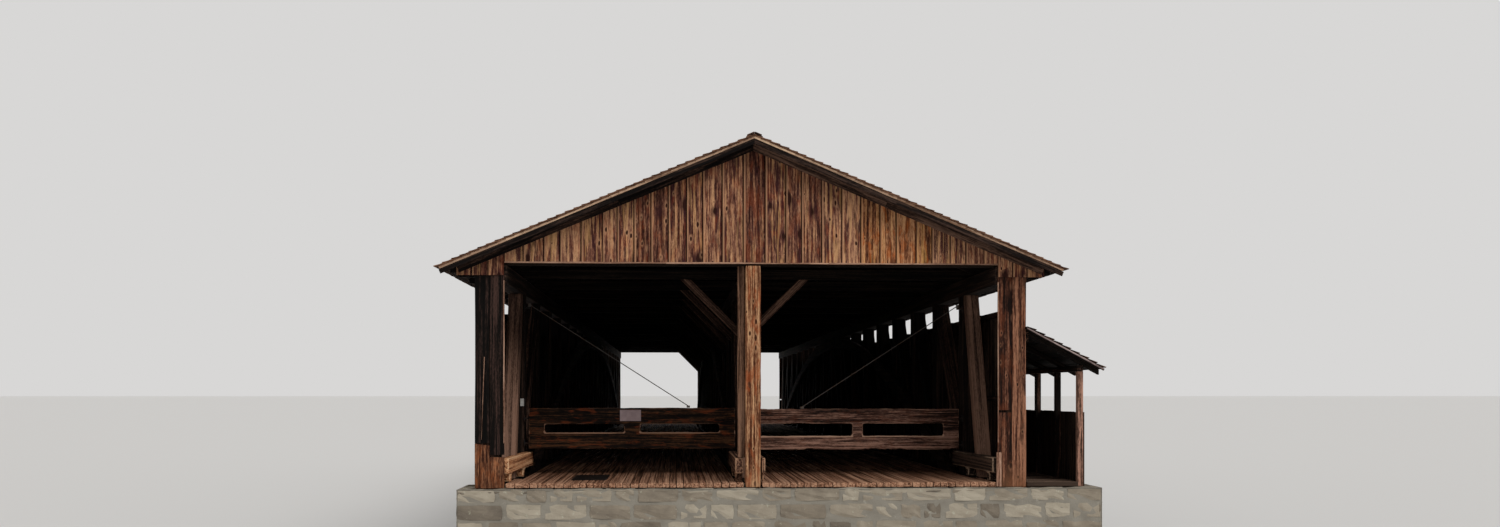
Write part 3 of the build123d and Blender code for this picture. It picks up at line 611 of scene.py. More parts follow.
@dataclass
class Blank:
    """One modelled piece kept as arrays, from which copies are laid. Its length runs along Z."""

    points: np.ndarray
    faces: list[tuple[int, ...]]
    size: np.ndarray
    margin: np.ndarray             # stretch leaves this much at each end as it is

    @classmethod
    def take(cls, piece: bpy.types.Object, margin: float) -> "Blank":
        """Keep a modelled object as arrays and clear it away.

        Args:
            piece: The modelled object.
            margin: How much of each end a stretch leaves as it is.

        Returns:
            The blank.
        """
        deselect()
        points, mesh = points_of(piece.name), piece.data
        faces = [tuple(face.vertices) for face in mesh.polygons]
        size = points.max(0) - points.min(0)
        bpy.data.objects.remove(piece)
        bpy.data.meshes.remove(mesh)
        return cls(points - middle_of(points), faces, size, np.minimum(margin, size * 0.4))

    @classmethod
    def sawn(cls, size: Point, cuts: int, arris: float) -> "Blank":
        """Model a board: a block with extra loops along its length and worn long edges.

        Args:
            size: Width, thickness and length.
            cuts: Loops along the length.
            arris: Width of the worn edge.

        Returns:
            The board.
        """
        board = block("board", size)
        if cuts:
            with editing(board, Pick.EDGES, upright):
                bpy.ops.mesh.subdivide(number_cuts=cuts)
        with editing(board, Pick.EDGES, upright):
            bpy.ops.mesh.bevel(offset=arris, segments=1)
        return cls.take(board, arris * 1.5)

    @classmethod
    def shingle(cls, size: Point, tip: float) -> "Blank":
        """Model a split shingle, face up along Y, its upper end along Z pressed down to the thin tip."""
        shingle = block("shingle", size)
        for vertex in shingle.data.vertices:
            if vertex.co.z > 0 and vertex.co.y > 0:
                vertex.co.y = tip - size[1] / 2
        return cls.take(shingle, 0.0)

    @classmethod
    def stone(cls, size: Point, seed: int) -> "Blank":
        """Model a stone: a block, subdivided, with its corners rounded off and knocked about by a seed."""
        stone = block("stone", size)
        with editing(stone):
            bpy.ops.mesh.subdivide(number_cuts=2)
            bpy.ops.mesh.vertices_smooth(factor=0.35)
            bpy.ops.transform.vertex_random(offset=0.007, uniform=1.0, seed=seed)
        return cls.take(stone, 0.02)

    @classmethod
    def nut(cls, across: float, height: float) -> "Blank":
        """Model a square nut on a round washer, both facing along Y."""
        deselect()
        bpy.ops.mesh.primitive_cylinder_add(vertices=16, radius=across, depth=height / 3,
                                            rotation=(math.pi / 2, 0, 0), end_fill_type="NGON")
        bpy.ops.object.transform_apply(location=False, rotation=True, scale=False)
        nut = bpy.context.object
        with editing(nut):
            bpy.ops.mesh.primitive_cube_add(size=1, location=(0, height / 2, 0),
                                            scale=(across, height, across))
            bpy.ops.mesh.bevel(offset=across * 0.08, segments=1)
        return cls.take(nut, 0.0)

    def fitted(self, size: Sequence[float]) -> np.ndarray:
        """Stretch the points to a width, thickness and length, with the worked edges left as they are."""
        core = self.size / 2 - self.margin
        middle = np.clip(self.points, -core, core)
        return middle * ((np.array(size) / 2 - self.margin) / core) + (self.points - middle)


def mount(piece: bpy.types.Object, finish: Finish, slot: str, replaced: Sequence[str] = (),
          body: Body = Body.BRIDGE) -> None:
    """Give a finished piece its material and body, and the solids that it stands for.

    Args:
        piece: The finished piece.
        finish: Its finish.
        slot: Not used.
        replaced: Solids that it stands for.
        body: Body that it rides on.
    """
    dress(piece.name, finish)
    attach(piece, body.value)
    if replaced:
        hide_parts(*replaced)


def dress(name: str, finish: Finish) -> None:
    """Give a piece, or a node that stays as it is, its finish."""
    materials = bpy.data.objects[name].data.materials
    materials.clear()
    materials.append(finish.made)


@dataclass
class Pile:
    """Copies of blanks, gathered into one mesh whose points carry grain coordinates and a tone."""

    name: str
    seed: int
    points: list[np.ndarray] = field(default_factory=list)
    grains: list[np.ndarray] = field(default_factory=list)
    tones: list[np.ndarray] = field(default_factory=list)
    sides: list[np.ndarray] = field(default_factory=list)
    faces: list[tuple[int, ...]] = field(default_factory=list)
    size: int = 0

    def __post_init__(self) -> None:
        """Seed the pile's own random draws."""
        self.draw = random.Random(self.seed)

    def lay(self, blank: Blank, local: np.ndarray, placed: np.ndarray, turn: Sequence[Sequence[float]],
            tone: float | np.ndarray | None = None) -> None:
        """Add one copy.

        Args:
            blank: Gives the faces.
            local: The copy's points before it is placed, with the grain along Z.
            placed: The same points in their place.
            turn: Directions of its width, thickness and length. If they mirror it, its faces are turned back.
            tone: From 0, dark, to 1, light. Drawn at random if it isn't given.
        """
        offset = [self.draw.uniform(-SHIFT, SHIFT) for _ in range(3)]
        self.points.append(placed)
        self.grains.append(local + offset)
        self.tones.append(np.full(len(local), self.draw.random() if tone is None else tone))
        self.sides.append(local[:, 0] / np.abs(local[:, 0]).max())
        way = -1 if np.linalg.det(np.array(turn, float)) < 0 else 1
        self.faces.extend(tuple(index + self.size for index in face[::way]) for face in blank.faces)
        self.size += len(local)

    def board(self, blank: Blank, size: Sequence[float], centre: Sequence[float],
              axes: Sequence[Sequence[float]], wander: float = 0.0, tone: float | Shaping | None = None,
              shape: Shaping | None = None) -> None:
        """Lay a board of a size at a place.

        Args:
            blank: The modelled board.
            size: Width, thickness and length.
            centre: Place of its middle.
            axes: Directions of its width, thickness and length.
            wander: How far its edges stray from straight.
            tone: From 0, dark, to 1, light, or what gives it for the placed points.
            shape: Works the placed points, as where an end is cut to a slope.
        """
        local = blank.fitted(size)
        if wander:
            phase = self.draw.uniform(0, 6.28)
            pitch = self.draw.uniform(2.0, 5.0)
            local[:, 0] += wander * np.sin(phase + pitch * local[:, 2]) * np.sign(local[:, 0])
        placed = np.array(centre) + local @ np.array(axes, float)
        level = tone(placed) if callable(tone) else tone
        self.lay(blank, local, shape(placed) if shape else placed, axes, level)

    def raised(self, finish: Finish, slot: str, *replaced: str) -> None:
        """Make the pile one object, dress it and hang it on the bridge.

        Args:
            finish: Finish of the whole pile.
            slot: Material slot of the record.
            replaced: Solids that it stands for.
        """
        mesh = bpy.data.meshes.new(self.name)
        mesh.from_pydata(np.concatenate(self.points).tolist(), [], self.faces)
        for name, values in (("grain", self.grains), ("tone", self.tones), ("across", self.sides)):
            note(mesh, name, np.concatenate(values))
        mesh.update()
        piece = bpy.data.objects.new(self.name, mesh)
        bpy.context.scene.collection.objects.link(piece)
        mount(piece, finish, slot, replaced)
        log.info("%s: %d copies, %d faces", self.name, len(self.points), len(mesh.polygons))


def islands(mesh: bpy.types.Mesh) -> list[np.ndarray]:
    """Find the separate solids of a mesh, each as the numbers of its points."""
    parent = np.arange(len(mesh.vertices))

    def root(index: int) -> int:
        """Follow the links to the first point of a solid."""
        while parent[index] != index:
            parent[index] = parent[parent[index]]
            index = parent[index]
        return index

    for edge in mesh.edges:
        first, second = (root(index) for index in edge.vertices)
        parent[max(first, second)] = min(first, second)
    roots = np.array([root(index) for index in range(len(parent))])
    return [np.flatnonzero(roots == number) for number in np.unique(roots)]


def give_grain(piece: bpy.types.Object, seed: int, tones: Tones) -> None:
    """Give each solid of a piece grain coordinates along its longest way, and a tone.

    Args:
        piece: The piece.
        seed: Draws offsets and tones.
        tones: Picks the tone from a solid's middle.
    """
    draw = random.Random(seed)
    points = points_of(piece.name)
    grains, tone = np.zeros_like(points), np.zeros(len(points))
    for island in islands(piece.data):
        part = points[island]
        middle = middle_of(part)
        spread, axes = np.linalg.eigh(np.cov((part - middle).T))
        along = axes[:, np.argmax(spread)]
        side = np.cross(along, (0.0, 0.0, 1.0) if abs(along[2]) < 0.9 else (1.0, 0.0, 0.0))
        side /= np.linalg.norm(side)
        turn = np.stack([side, np.cross(along, side), along], axis=1)
        grains[island] = (part - middle) @ turn + [draw.uniform(-SHIFT, SHIFT) for _ in range(3)]
        tone[island] = tones(middle, draw)
    note(piece.data, "grain", grains)
    note(piece.data, "tone", tone)


def any_tone(middle: np.ndarray, draw: random.Random) -> float:
    """Pick a tone at random, whatever the place."""
    return draw.random()


def edge_spots(mesh: bpy.types.Mesh, spacing: float = 0.004) -> KDTree:
    """Dot the sharp edges of a merged mesh at a spacing, ready for searching."""
    dots: list[Vector] = []
    shape = bmesh.new()
    shape.from_mesh(mesh)
    for edge in shape.edges:
        if edge.calc_face_angle(0.0) >= math.radians(20):
            start, end = (vertex.co.copy() for vertex in edge.verts)
            steps = max(int((end - start).length / spacing), 1)
            dots.extend(start.lerp(end, step / steps) for step in range(steps + 1))
    shape.free()
    tree = KDTree(len(dots))
    for number, dot in enumerate(dots):
        tree.insert(dot, number)
    tree.balance()
    return tree


def worn_copy(node: str, finish: Finish, slot: str = "truss_timber", name: str = "", arris: float = 0.003,
              voxel: float = 0.0, wear: float = 0.0, body: Body = Body.BRIDGE, tones: Tones = any_tone,
              seed: int = 1, part: Test | None = None, stands_for: bool = True) -> bpy.types.Object:
    """Model a node's timbers again from its solids, with worn edges, and let them stand for it.

    Args:
        node: The node.
        finish: Finish of the new piece.
        slot: Material slot of the record.
        name: Name of the piece, or nothing to name it after the node.
        arris: Width of the worn edges.
        voxel: Size of the cells in which the timber is modelled anew, or 0 to keep its faces flat.
        wear: Depth of the hollows that weather and wheels have made.
        body: Body that it rides on.
        tones: Picks each timber's tone.
        seed: Draws the tones.
        part: Says of a solid's middle whether it is in this piece. All are, if it isn't given.
        stands_for: Whether this piece stands for the node.

    Returns:
        The piece.
    """
    name = name or f"{node}_sawn"
    piece = bpy.data.objects.new(name, bpy.data.objects[node].data.copy())
    piece.data.name = name
    bpy.context.scene.collection.objects.link(piece)
    deselect()
    piece.select_set(True)
    bpy.context.view_layer.objects.active = piece
    with editing(piece):
        bpy.ops.mesh.remove_doubles(threshold=0.00002)
        bpy.ops.mesh.dissolve_limited(angle_limit=math.radians(0.5))
    if part:
        points = points_of(name)
        doomed = np.zeros(len(points), bool)
        for island in islands(piece.data):
            doomed[island] = not part(middle_of(points[island]))
        with editing(piece, Pick.POINTS, lambda mesh: doomed.tolist()):
            bpy.ops.mesh.delete(type="VERT")
    if voxel:
        spots = edge_spots(piece.data)
        alter(piece, "REMESH", mode="VOXEL", voxel_size=voxel)
        reach = max(0.014, voxel * 1.6)
        away = np.array([spots.find(vertex.co)[2] for vertex in piece.data.vertices])
        note(piece.data, "edge", np.maximum(0.0, 1.0 - away / reach))
        alter(piece, "SMOOTH", factor=0.5, iterations=2)
        hollows = bpy.data.textures.new(name, "CLOUDS")
        hollows.noise_scale = 0.09
        hollows.noise_depth = 3
        alter(piece, "DISPLACE", texture=hollows, texture_coords="LOCAL", strength=wear, mid_level=0.75)
        bpy.ops.object.shade_smooth()
    else:
        alter(piece, "BEVEL", width=arris, limit_method="ANGLE", angle_limit=math.radians(30))
    give_grain(piece, seed, tones)
    mount(piece, finish, slot, [node] if stands_for else (), body)
    log.info("%s: %d faces, for %s", name, len(piece.data.polygons), node)
    return piece


def ragged(piece: bpy.types.Object, level: float, depth: float, upward: bool, seed: int) -> None:
    """Eat into a level edge of a remeshed plank, deeper in some places than in others.

    Args:
        piece: The plank.
        level: Height of the edge.
        depth: Depth of the deepest bite.
        upward: Whether the bites go up, as at a lower edge.
        seed: Draws the bites.
    """
    draw = np.random.default_rng(seed)
    points = points_of(piece.name)
    near = np.clip(1.0 - np.abs(points[:, 2] - level) / (depth * 2.5), 0.0, 1.0)
    bite = sum(np.sin(points[:, 0] * pitch + draw.uniform(0, 6.28)) / count
               for count, pitch in enumerate((9.0, 23.0, 51.0, 117.0), start=1))
    points[:, 2] += near * np.clip(bite, 0.0, 1.6) / 1.6 * depth * (1 if upward else -1)
    piece.data.vertices.foreach_set("co", points.astype(np.float32).ravel())
    piece.data.update()


@dataclass(frozen=True)
class Viewpoint:
    """The photographer's place before the near portal, a little left of its middle."""

    place: Point = (-0.6475, -12.075, 1.835)
    turn_degrees: float = -2.945
    lens: float = 35.0
    rise: float = 0.087            # share of the frame's width by which the view is shifted up

    def build(self) -> None:
        """Set up the camera."""
        data = bpy.data.cameras.new("viewpoint")
        data.lens = self.lens
        data.sensor_width = 36.0
        data.shift_y = self.rise
        data.clip_end = 4000.0
        camera = bpy.data.objects.new("viewpoint", data)
        camera.location = self.place
        camera.rotation_euler = (math.pi / 2, 0.0, math.radians(self.turn_degrees))
        bpy.context.scene.collection.objects.link(camera)
        bpy.context.scene.camera = camera


@dataclass(frozen=True)
class Studio:
    """A pale floor under an even grey sky, with one broad soft lamp."""

    floor_colour: str = "#d2d0cd"
    backdrop: str = "#d8d7d6"
    sky_light: float = 0.62
    lamp_power: float = 1.5
    lamp_breadth: float = 35.0     # degrees
    lamp_tilt: Point = (52.0, 0.0, 30.0)
    floor_reach: float = 2400.0

    def build(self) -> None:
        """Lay the floor, light the world and hang the lamp."""
        scene = bpy.context.scene
        scene.view_settings.view_transform = "Standard"
        self.sky(scene)
        lamp = bpy.data.lights.new("soft_lamp", "SUN")
        lamp.energy = self.lamp_power
        lamp.angle = math.radians(self.lamp_breadth)
        holder = bpy.data.objects.new("soft_lamp", lamp)
        holder.rotation_euler = [math.radians(angle) for angle in self.lamp_tilt]
        scene.collection.objects.link(holder)
        deselect()
        bpy.ops.mesh.primitive_plane_add(size=self.floor_reach, location=(0, 0, 0))
        floor = bpy.context.object
        floor.name = "studio_floor"
        material = bpy.data.materials.new("studio_floor")
        material.use_nodes = True
        shader = material.node_tree.nodes["Principled BSDF"].inputs
        shader["Base Color"].default_value = linear(self.floor_colour)
        shader["Roughness"].default_value = 0.95
        floor.data.materials.append(material)

    def sky(self, scene: bpy.types.Scene) -> None:
        """Light the world evenly, with a paler backdrop for the camera and for what is reflected."""
        world = bpy.data.worlds.new("sky")
        world.use_nodes = True
        scene.world = world
        tree = world.node_tree
        light = tree.nodes["Background"]
        light.inputs["Color"].default_value = (1.0, 1.0, 1.0, 1.0)
        light.inputs["Strength"].default_value = self.sky_light
        seen = add_node(tree, Kind.SKY, linear(self.backdrop), 1.0)
        rays = path = add_node(tree, Kind.RAYS)
        for name in ("Is Glossy Ray", "Is Transmission Ray"):
            rays = add_node(tree, Kind.LARGER, rays, path.node.outputs[name])
        mixed = add_node(tree, Kind.BLEND_SKIES, rays, light.outputs[0], seen)
        tree.links.new(mixed, tree.nodes["World Output"].inputs["Surface"])


@dataclass
class RoofPlane:
    """One slope of a roof, measured on a node of its solids."""

    node: str

    def __post_init__(self) -> None:
        """Measure the slope."""
        points = points_of(self.node)
        low, high = points.min(0), points.max(0)
        ridge_x, _, ridge_z = points[points[:, 2].argmax()]
        self.ridge_z = ridge_z
        self.eave_x = high[0] if abs(high[0]) > abs(low[0]) else low[0]
        self.eave_z = points[np.abs(points[:, 0] - self.eave_x) < 1e-4][:, 2].max()
        self.start, self.end = low[1], high[1]
        self.length = math.hypot(self.eave_x - ridge_x, ridge_z - self.eave_z)
        self.slope = (ridge_z - self.eave_z) / abs(self.eave_x - ridge_x)
        self.up = np.array([ridge_x - self.eave_x, 0.0, ridge_z - self.eave_z]) / self.length
        self.out = np.array([-self.up[2] * np.sign(self.up[0]), 0.0, abs(self.up[0])])
        self.flat = (self.up, self.out, (0, 1, 0))      # width up the slope, length along the bridge

    def place(self, run: float, lift: float, y: float) -> np.ndarray:
        """A point at a run up the slope, a lift over its upper side and a distance along the bridge."""
        return np.array([self.eave_x, y, self.eave_z]) + self.up * run + self.out * lift


@dataclass(frozen=True)
class ShingleCoat:
    """Split shingles laid in courses, each lapping more than half of the one below."""

    exposure: float = 0.075
    length: float = 0.165
    butt: float = 0.0075
    tip: float = 0.0005
    widths: Range = (0.035, 0.095)
    gap: float = 0.0025
    verge: float = 0.9             # tone of the shingles at both ends, which the weather reaches

    def lay(self, plane: RoofPlane, name: str, seed: int, replaced: str) -> None:
        """Cover a slope from the eave to the ridge.

        Args:
            plane: The slope.
            name: Name of the piece.
            seed: Draws widths and tones.
            replaced: Node that the shingles stand for.
        """
        pile = Pile(name, seed)
        draw = pile.draw.uniform
        blank = Blank.shingle((0.065, self.butt, self.length), self.tip)
        tilt = self.butt / self.exposure
        courses = int(plane.length / self.exposure)
        exposure = plane.length / courses
        turn = np.array([(0, 1, 0), plane.out, plane.up])
        for course in range(courses):
            y = plane.start + draw(0.0, 0.006)
            course_tone = draw(-0.08, 0.08)
            while y < plane.end - 0.02:
                width = min(draw(*self.widths), plane.end - draw(0.0, 0.006) - y)
                slip = draw(-0.006, 0.004)
                length = min(self.length, plane.length - course * exposure - slip)
                run = course * exposure + slip if course else max(slip, 0.0)
                local = blank.fitted((width - self.gap, self.butt, length))
                centre = plane.place(run + length / 2, -self.butt / 2 - draw(0.0, 0.0015), y + width / 2)
                leaning = local.copy()
                leaning[:, 1] -= (local[:, 2] + length / 2) * tilt
                tone = min(max(pile.draw.gauss(0.45, 0.2) + course_tone, 0.0), 1.0)
                if y < plane.start + 0.01 or y + width > plane.end - 0.02:
                    tone = self.verge
                pile.lay(blank, local, centre + leaning @ turn, turn, tone)
                y += width
        pile.raised(Finish.SHINGLE, "shingles", replaced)


@dataclass(frozen=True)
class Sheathing:
    """Boards laid along the bridge under the shingles, which show from inside."""

    thickness: float = BOARD
    depth: float = LAYER / 2       # of their middle under the upper side of the solid
    widest: float = 0.17
    eave: float = 0.0              # bare strip along the eave
    verge: float = 0.0             # bare strip at each end

    def lay(self, pile: Pile, plane: RoofPlane) -> None:
        """Cover the underside of a slope."""
        blank = Blank.sawn((0.14, LAYER, 3.0), 0, 0.002)
        for run, width in boards(pile.draw, self.eave, plane.length, 0.11, self.widest):
            for y, length in boards(pile.draw, plane.start + self.verge, plane.end - self.verge, 2.6, 3.4):
                pile.board(blank, (width - GAP, self.thickness, length - GAP),
                           plane.place(run, -self.depth, y), plane.flat)


@dataclass(frozen=True)
class SlopeBoards:
    """Boards down both slopes of both gables, in two lengths, plumb at the ridge and at the outer end."""

    name: str
    seed: int
    y: float                       # place of their middle at the near gable
    reach: float                   # of their outer ends from the ridge
    ridge_z: float                 # height of their upper edges at the ridge
    height: float
    thickness: float
    tones: tuple[float, ...] = ()  # of the left and right boards, or drawn at random

    def lay(self, plane: RoofPlane, finish: Finish, slot: str, *replaced: str) -> None:
        """Nail the boards to the gables.

        Args:
            plane: A slope of the roof.
            finish: Finish of the boards.
            slot: Material slot of the record.
            replaced: Solids that they stand for.
        """
        pile = Pile(self.name, self.seed)
        blank = Blank.sawn((0.04, LAYER, 1.5), 5, 0.003)
        run = self.reach / abs(plane.up[0])
        for sign in (-1, 1):
            up = plane.up * (-sign * np.sign(plane.up[0]), 1, 1)
            out = plane.out * (sign * np.sign(plane.out[0]), 1, 1)

            def plumb(points: np.ndarray) -> np.ndarray:
                """Cut the board plumb at the ridge and at its outer end."""
                limit = np.clip(points[:, 0] * sign, 0.0, self.reach)
                moved = points.copy()
                moved[:, 2] += (points[:, 0] * sign - limit) * plane.slope
                moved[:, 0] = limit * sign
                return moved

            tone = self.tones[sign > 0] if self.tones else None
            for y in (self.y, SPAN - self.y):
                for middle, length in ((run * 0.23, run * 0.46), (run * 0.73, run * 0.54)):
                    centre = np.array([0.0, y, self.ridge_z]) - up * middle - out * self.height / 2
                    pile.board(blank, (self.height, self.thickness, length - 0.002), centre,
                               (out, (0, 1, 0), up), 0.001, tone, plumb)
        pile.raised(finish, slot, *replaced)


@dataclass
class Roof:
    """The main roof: shingles, ridge boards, rake boards, frieze and the boards under the shingles."""

    strip_height: float = 0.020
    rake_height: float = 0.060
    rake_thickness: float = 0.015
    frieze_height: float = 0.067
    frieze_thickness: float = 0.012
    # Of the left and right frieze: painted shade under the left overhang, painted light on the right.
    frieze_shade_and_light: Range = (0.12, 0.75)
    ridge_thickness: float = 0.011
    drip_reach: float = 2.0475     # of the drip boards from the middle
    drip_height: float = 0.013

    def build(self) -> None:
        """Cover both slopes and trim the gables."""
        slopes = {side: RoofPlane(f"{side}_shingles") for side in ("left", "right")}
        for number, (side, plane) in enumerate(slopes.items()):
            ShingleCoat().lay(plane, f"{side}_split_shingles", 11 + number, f"{side}_shingles")
        self.ridge_boards(slopes)
        pile = Pile("roof_sheathing", 23)
        for side in slopes:
            Sheathing().lay(pile, RoofPlane(f"{side}_roof_boards"))
        pile.raised(Finish.TRUSS, "truss_timber", "left_roof_boards", "right_roof_boards")
        self.trim()
        self.drips()

    def ridge_boards(self, slopes: dict[str, RoofPlane]) -> None:
        """Lay the ridge with pairs of boards in lengths that lap a little unevenly."""
        pile = Pile("ridge_boards", 21)
        draw = pile.draw.uniform
        low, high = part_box("ridge_cap")
        blank = Blank.sawn((0.065, 0.012, 1.2), 2, 0.003)
        y = low.y
        while y < high.y - 0.05:
            length = min(draw(0.9, 1.4), high.y - y)
            for plane in slopes.values():
                width = (high.x - 0.001) * math.hypot(1.0, plane.slope) + draw(-0.004, 0.0)
                lift = self.ridge_thickness / 2 + draw(-0.0015, 0.0)
                centre = plane.place(plane.length - width / 2, lift, y + length / 2)
                pile.board(blank, (width, self.ridge_thickness, length - GAP), centre, plane.flat, 0.0015)
            y += length
        pile.raised(Finish.FRIEZE, "shingles", "ridge_cap")

    def trim(self) -> None:
        """Hang packing, rake strips, rake boards and frieze boards on both gables."""
        plane = RoofPlane("right_roof_boards")
        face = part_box("gable_trim")[0].y
        gable_low, gable_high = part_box("near_gable")
        reach, ridge = abs(plane.eave_x), plane.ridge_z
        edge = face + self.rake_thickness / 2
        lower = self.rake_height - self.strip_height - 0.002
        drop = (self.rake_height - lower) * math.hypot(1.0, plane.slope)
        packing = SlopeBoards("rake_packing", 29, face + 0.004, reach, ridge + 0.0150, BOARD, 0.018)
        packing.lay(plane, Finish.PACKING, "shingles")
        strips = SlopeBoards("rake_strips", 30, edge, reach, ridge, self.strip_height, self.rake_thickness)
        strips.lay(plane, Finish.RAKE, "trim", "gable_trim")
        rakes = SlopeBoards("rake_boards", 31, edge + 0.002, reach, ridge - drop, lower,
                            self.rake_thickness - 0.004)
        rakes.lay(plane, Finish.FLY, "trim")
        frieze = SlopeBoards("frieze_boards", 32, gable_low.y - self.frieze_thickness / 2, gable_high.x,
                             gable_high.z, self.frieze_height, self.frieze_thickness, self.frieze_shade_and_light)
        frieze.lay(plane, Finish.FRIEZE, "trim")

    def drips(self) -> None:
        """Nail a drip board along the lower edge of each gable."""
        pile = Pile("drip_boards", 33)
        blank = Blank.sawn((0.04, LAYER, 1.5), 5, 0.003)
        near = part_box("near_gable")[0].y + LAYER / 2
        z = GableWall.lower_edge() - self.drip_height / 2 - HAIR
        for y in (near, SPAN - near):
            for x, length in boards(pile.draw, -self.drip_reach, self.drip_reach, 1.2, 1.6):
                pile.board(blank, (self.drip_height, BOARD, length - 0.002), (x, y, z), ON_EDGE, 0.0012)
        pile.raised(Finish.DRIP, "trim")


@dataclass
class GableWall:
    """Upright boards over each portal, of uneven width, cut to the slope of the roof."""

    narrow: float = 0.115
    wide: float = 0.185
    casts: tuple[Range, ...] = (   # from each place on, how light the boards are
        (-9.0, 0.45), (-2.05, 0.95), (-1.9, 0.75), (-1.75, 0.97), (-1.4, 0.66), (-0.92, 0.12),
        (-0.70, 0.45), (-0.14, 0.1), (0.12, 0.45), (0.45, 0.55), (0.80, 0.95), (0.94, 0.45), (1.1, 0.75),
        (1.5, 0.85), (2.05, 0.6))
    rusty: Range = (0.96, 1.5)
    seam: float = 0.0052
    inner: float = 2.1             # the corner boards' stretch of the wall lies outside of this

    @classmethod
    def lower_edge(cls) -> float:
        """Height of the gable's lower edge over the lanes."""
        points = points_of("near_gable")
        inner = points[np.abs(points[:, 0]) < cls.inner][:, 2]
        return float(inner[inner < inner.max() - 0.3].max())

    def build(self) -> None:
        """Board both gables."""
        blank = Blank.sawn((0.12, LAYER, 0.8), 5, 0.0022)
        points = points_of("near_gable")
        low, high = points.min(0), points.max(0)
        reach = high[0]
        slope = (high[2] - points[np.abs(points[:, 0] - reach) < 1e-4][:, 2].max()) / reach
        step = min(x for x in np.abs(points[:, 0]) if x > 0.1)
        edge = self.lower_edge()
        for node, seed in (("near_gable", 47), ("far_gable", 42)):
            pile = Pile(f"{node}_boards", seed)
            stained = Pile(f"{node}_rusty_boards", seed + 100)
            for start, end, bottom in ((-reach, -step, low[2]), (-step, step, edge), (step, reach, low[2])):
                for middle, width in boards(pile.draw, start, end, self.narrow, self.wide):
                    foot = bottom - pile.draw.uniform(0.0, 0.004) if bottom == edge else bottom
                    length = high[2] - slope * abs(middle) - foot
                    sign = 1.0 if middle > 0 else -1.0

                    def sloped(placed: np.ndarray) -> np.ndarray:
                        """Cut the upper end to the slope."""
                        share = (placed[:, 2] - foot) / length
                        placed[:, 2] -= share * slope * sign * (placed[:, 0] - middle)
                        return placed

                    y = low[1] + LAYER / 2 + pile.draw.uniform(0.0, 0.0025)
                    place = (middle, y if node == "near_gable" else SPAN - y, foot + length / 2)
                    cast = [level for begin, level in self.casts if middle > begin][-1]
                    tone = min(max(cast + pile.draw.gauss(0.0, 0.12), 0.0), 1.0)
                    taking = stained if self.rusty[0] < middle < self.rusty[1] else pile
                    size = (width - self.seam, BOARD, length)
                    taking.board(blank, size, place, UPRIGHT, 0.0012, tone, sloped)
            pile.raised(Finish.GABLE, "gable_boards", node)
            stained.raised(Finish.GABLE_RUSTY, "gable_boards")


@dataclass
class Sides:
    """Boarded sides and the boards of the footpath's parapet."""

    seam: float = 0.0045
    backwall: float = 0.65         # this far in from a portal, the boards stand on masonry
    fill: float = 0.95             # share of the solid's thickness that the boards have

    def build(self) -> None:
        """Board both sides and the parapet."""
        for node, name, seed, sign, finish in (
                ("left_siding", "left_siding_boards", 51, -1, Finish.SIDING),
                ("right_siding", "right_siding_boards", 52, 1, Finish.SIDING),
                ("footpath_parapet", "parapet_boards", 53, 1, Finish.PARAPET)):
            pile = Pile(name, seed)
            self.wall(pile, node, sign)
            pile.raised(finish, "side_boards", node)

    def wall(self, pile: Pile, node: str, sign: int) -> None:
        """Lay upright boards in place of a plain side, standing on the abutments at its ends.

        Args:
            pile: Pile that they join.
            node: Node that the boards stand for.
            sign: Side of the bridge, -1 or 1.
        """
        blank = Blank.sawn((0.13, LAYER, 1.6), 4, 0.0025)
        low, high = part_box(node)
        seat = levels("near_abutment", 2)[-1]
        for y, width in boards(pile.draw, low.y, high.y, 0.09, 0.17):
            foot = seat if inward(y) - width / 2 < self.backwall else low.z
            foot -= pile.draw.uniform(-0.002, 0.008) if foot == low.z else 0.0
            top = high.z - pile.draw.uniform(0.0, 0.006)
            x = (low.x + high.x) / 2 - sign * pile.draw.uniform(0.0, 0.002)
            pile.board(blank, (width - self.seam, (high.x - low.x) * self.fill, top - foot),
                       (x, y, (top + foot) / 2), SIDE_ON, 0.001)


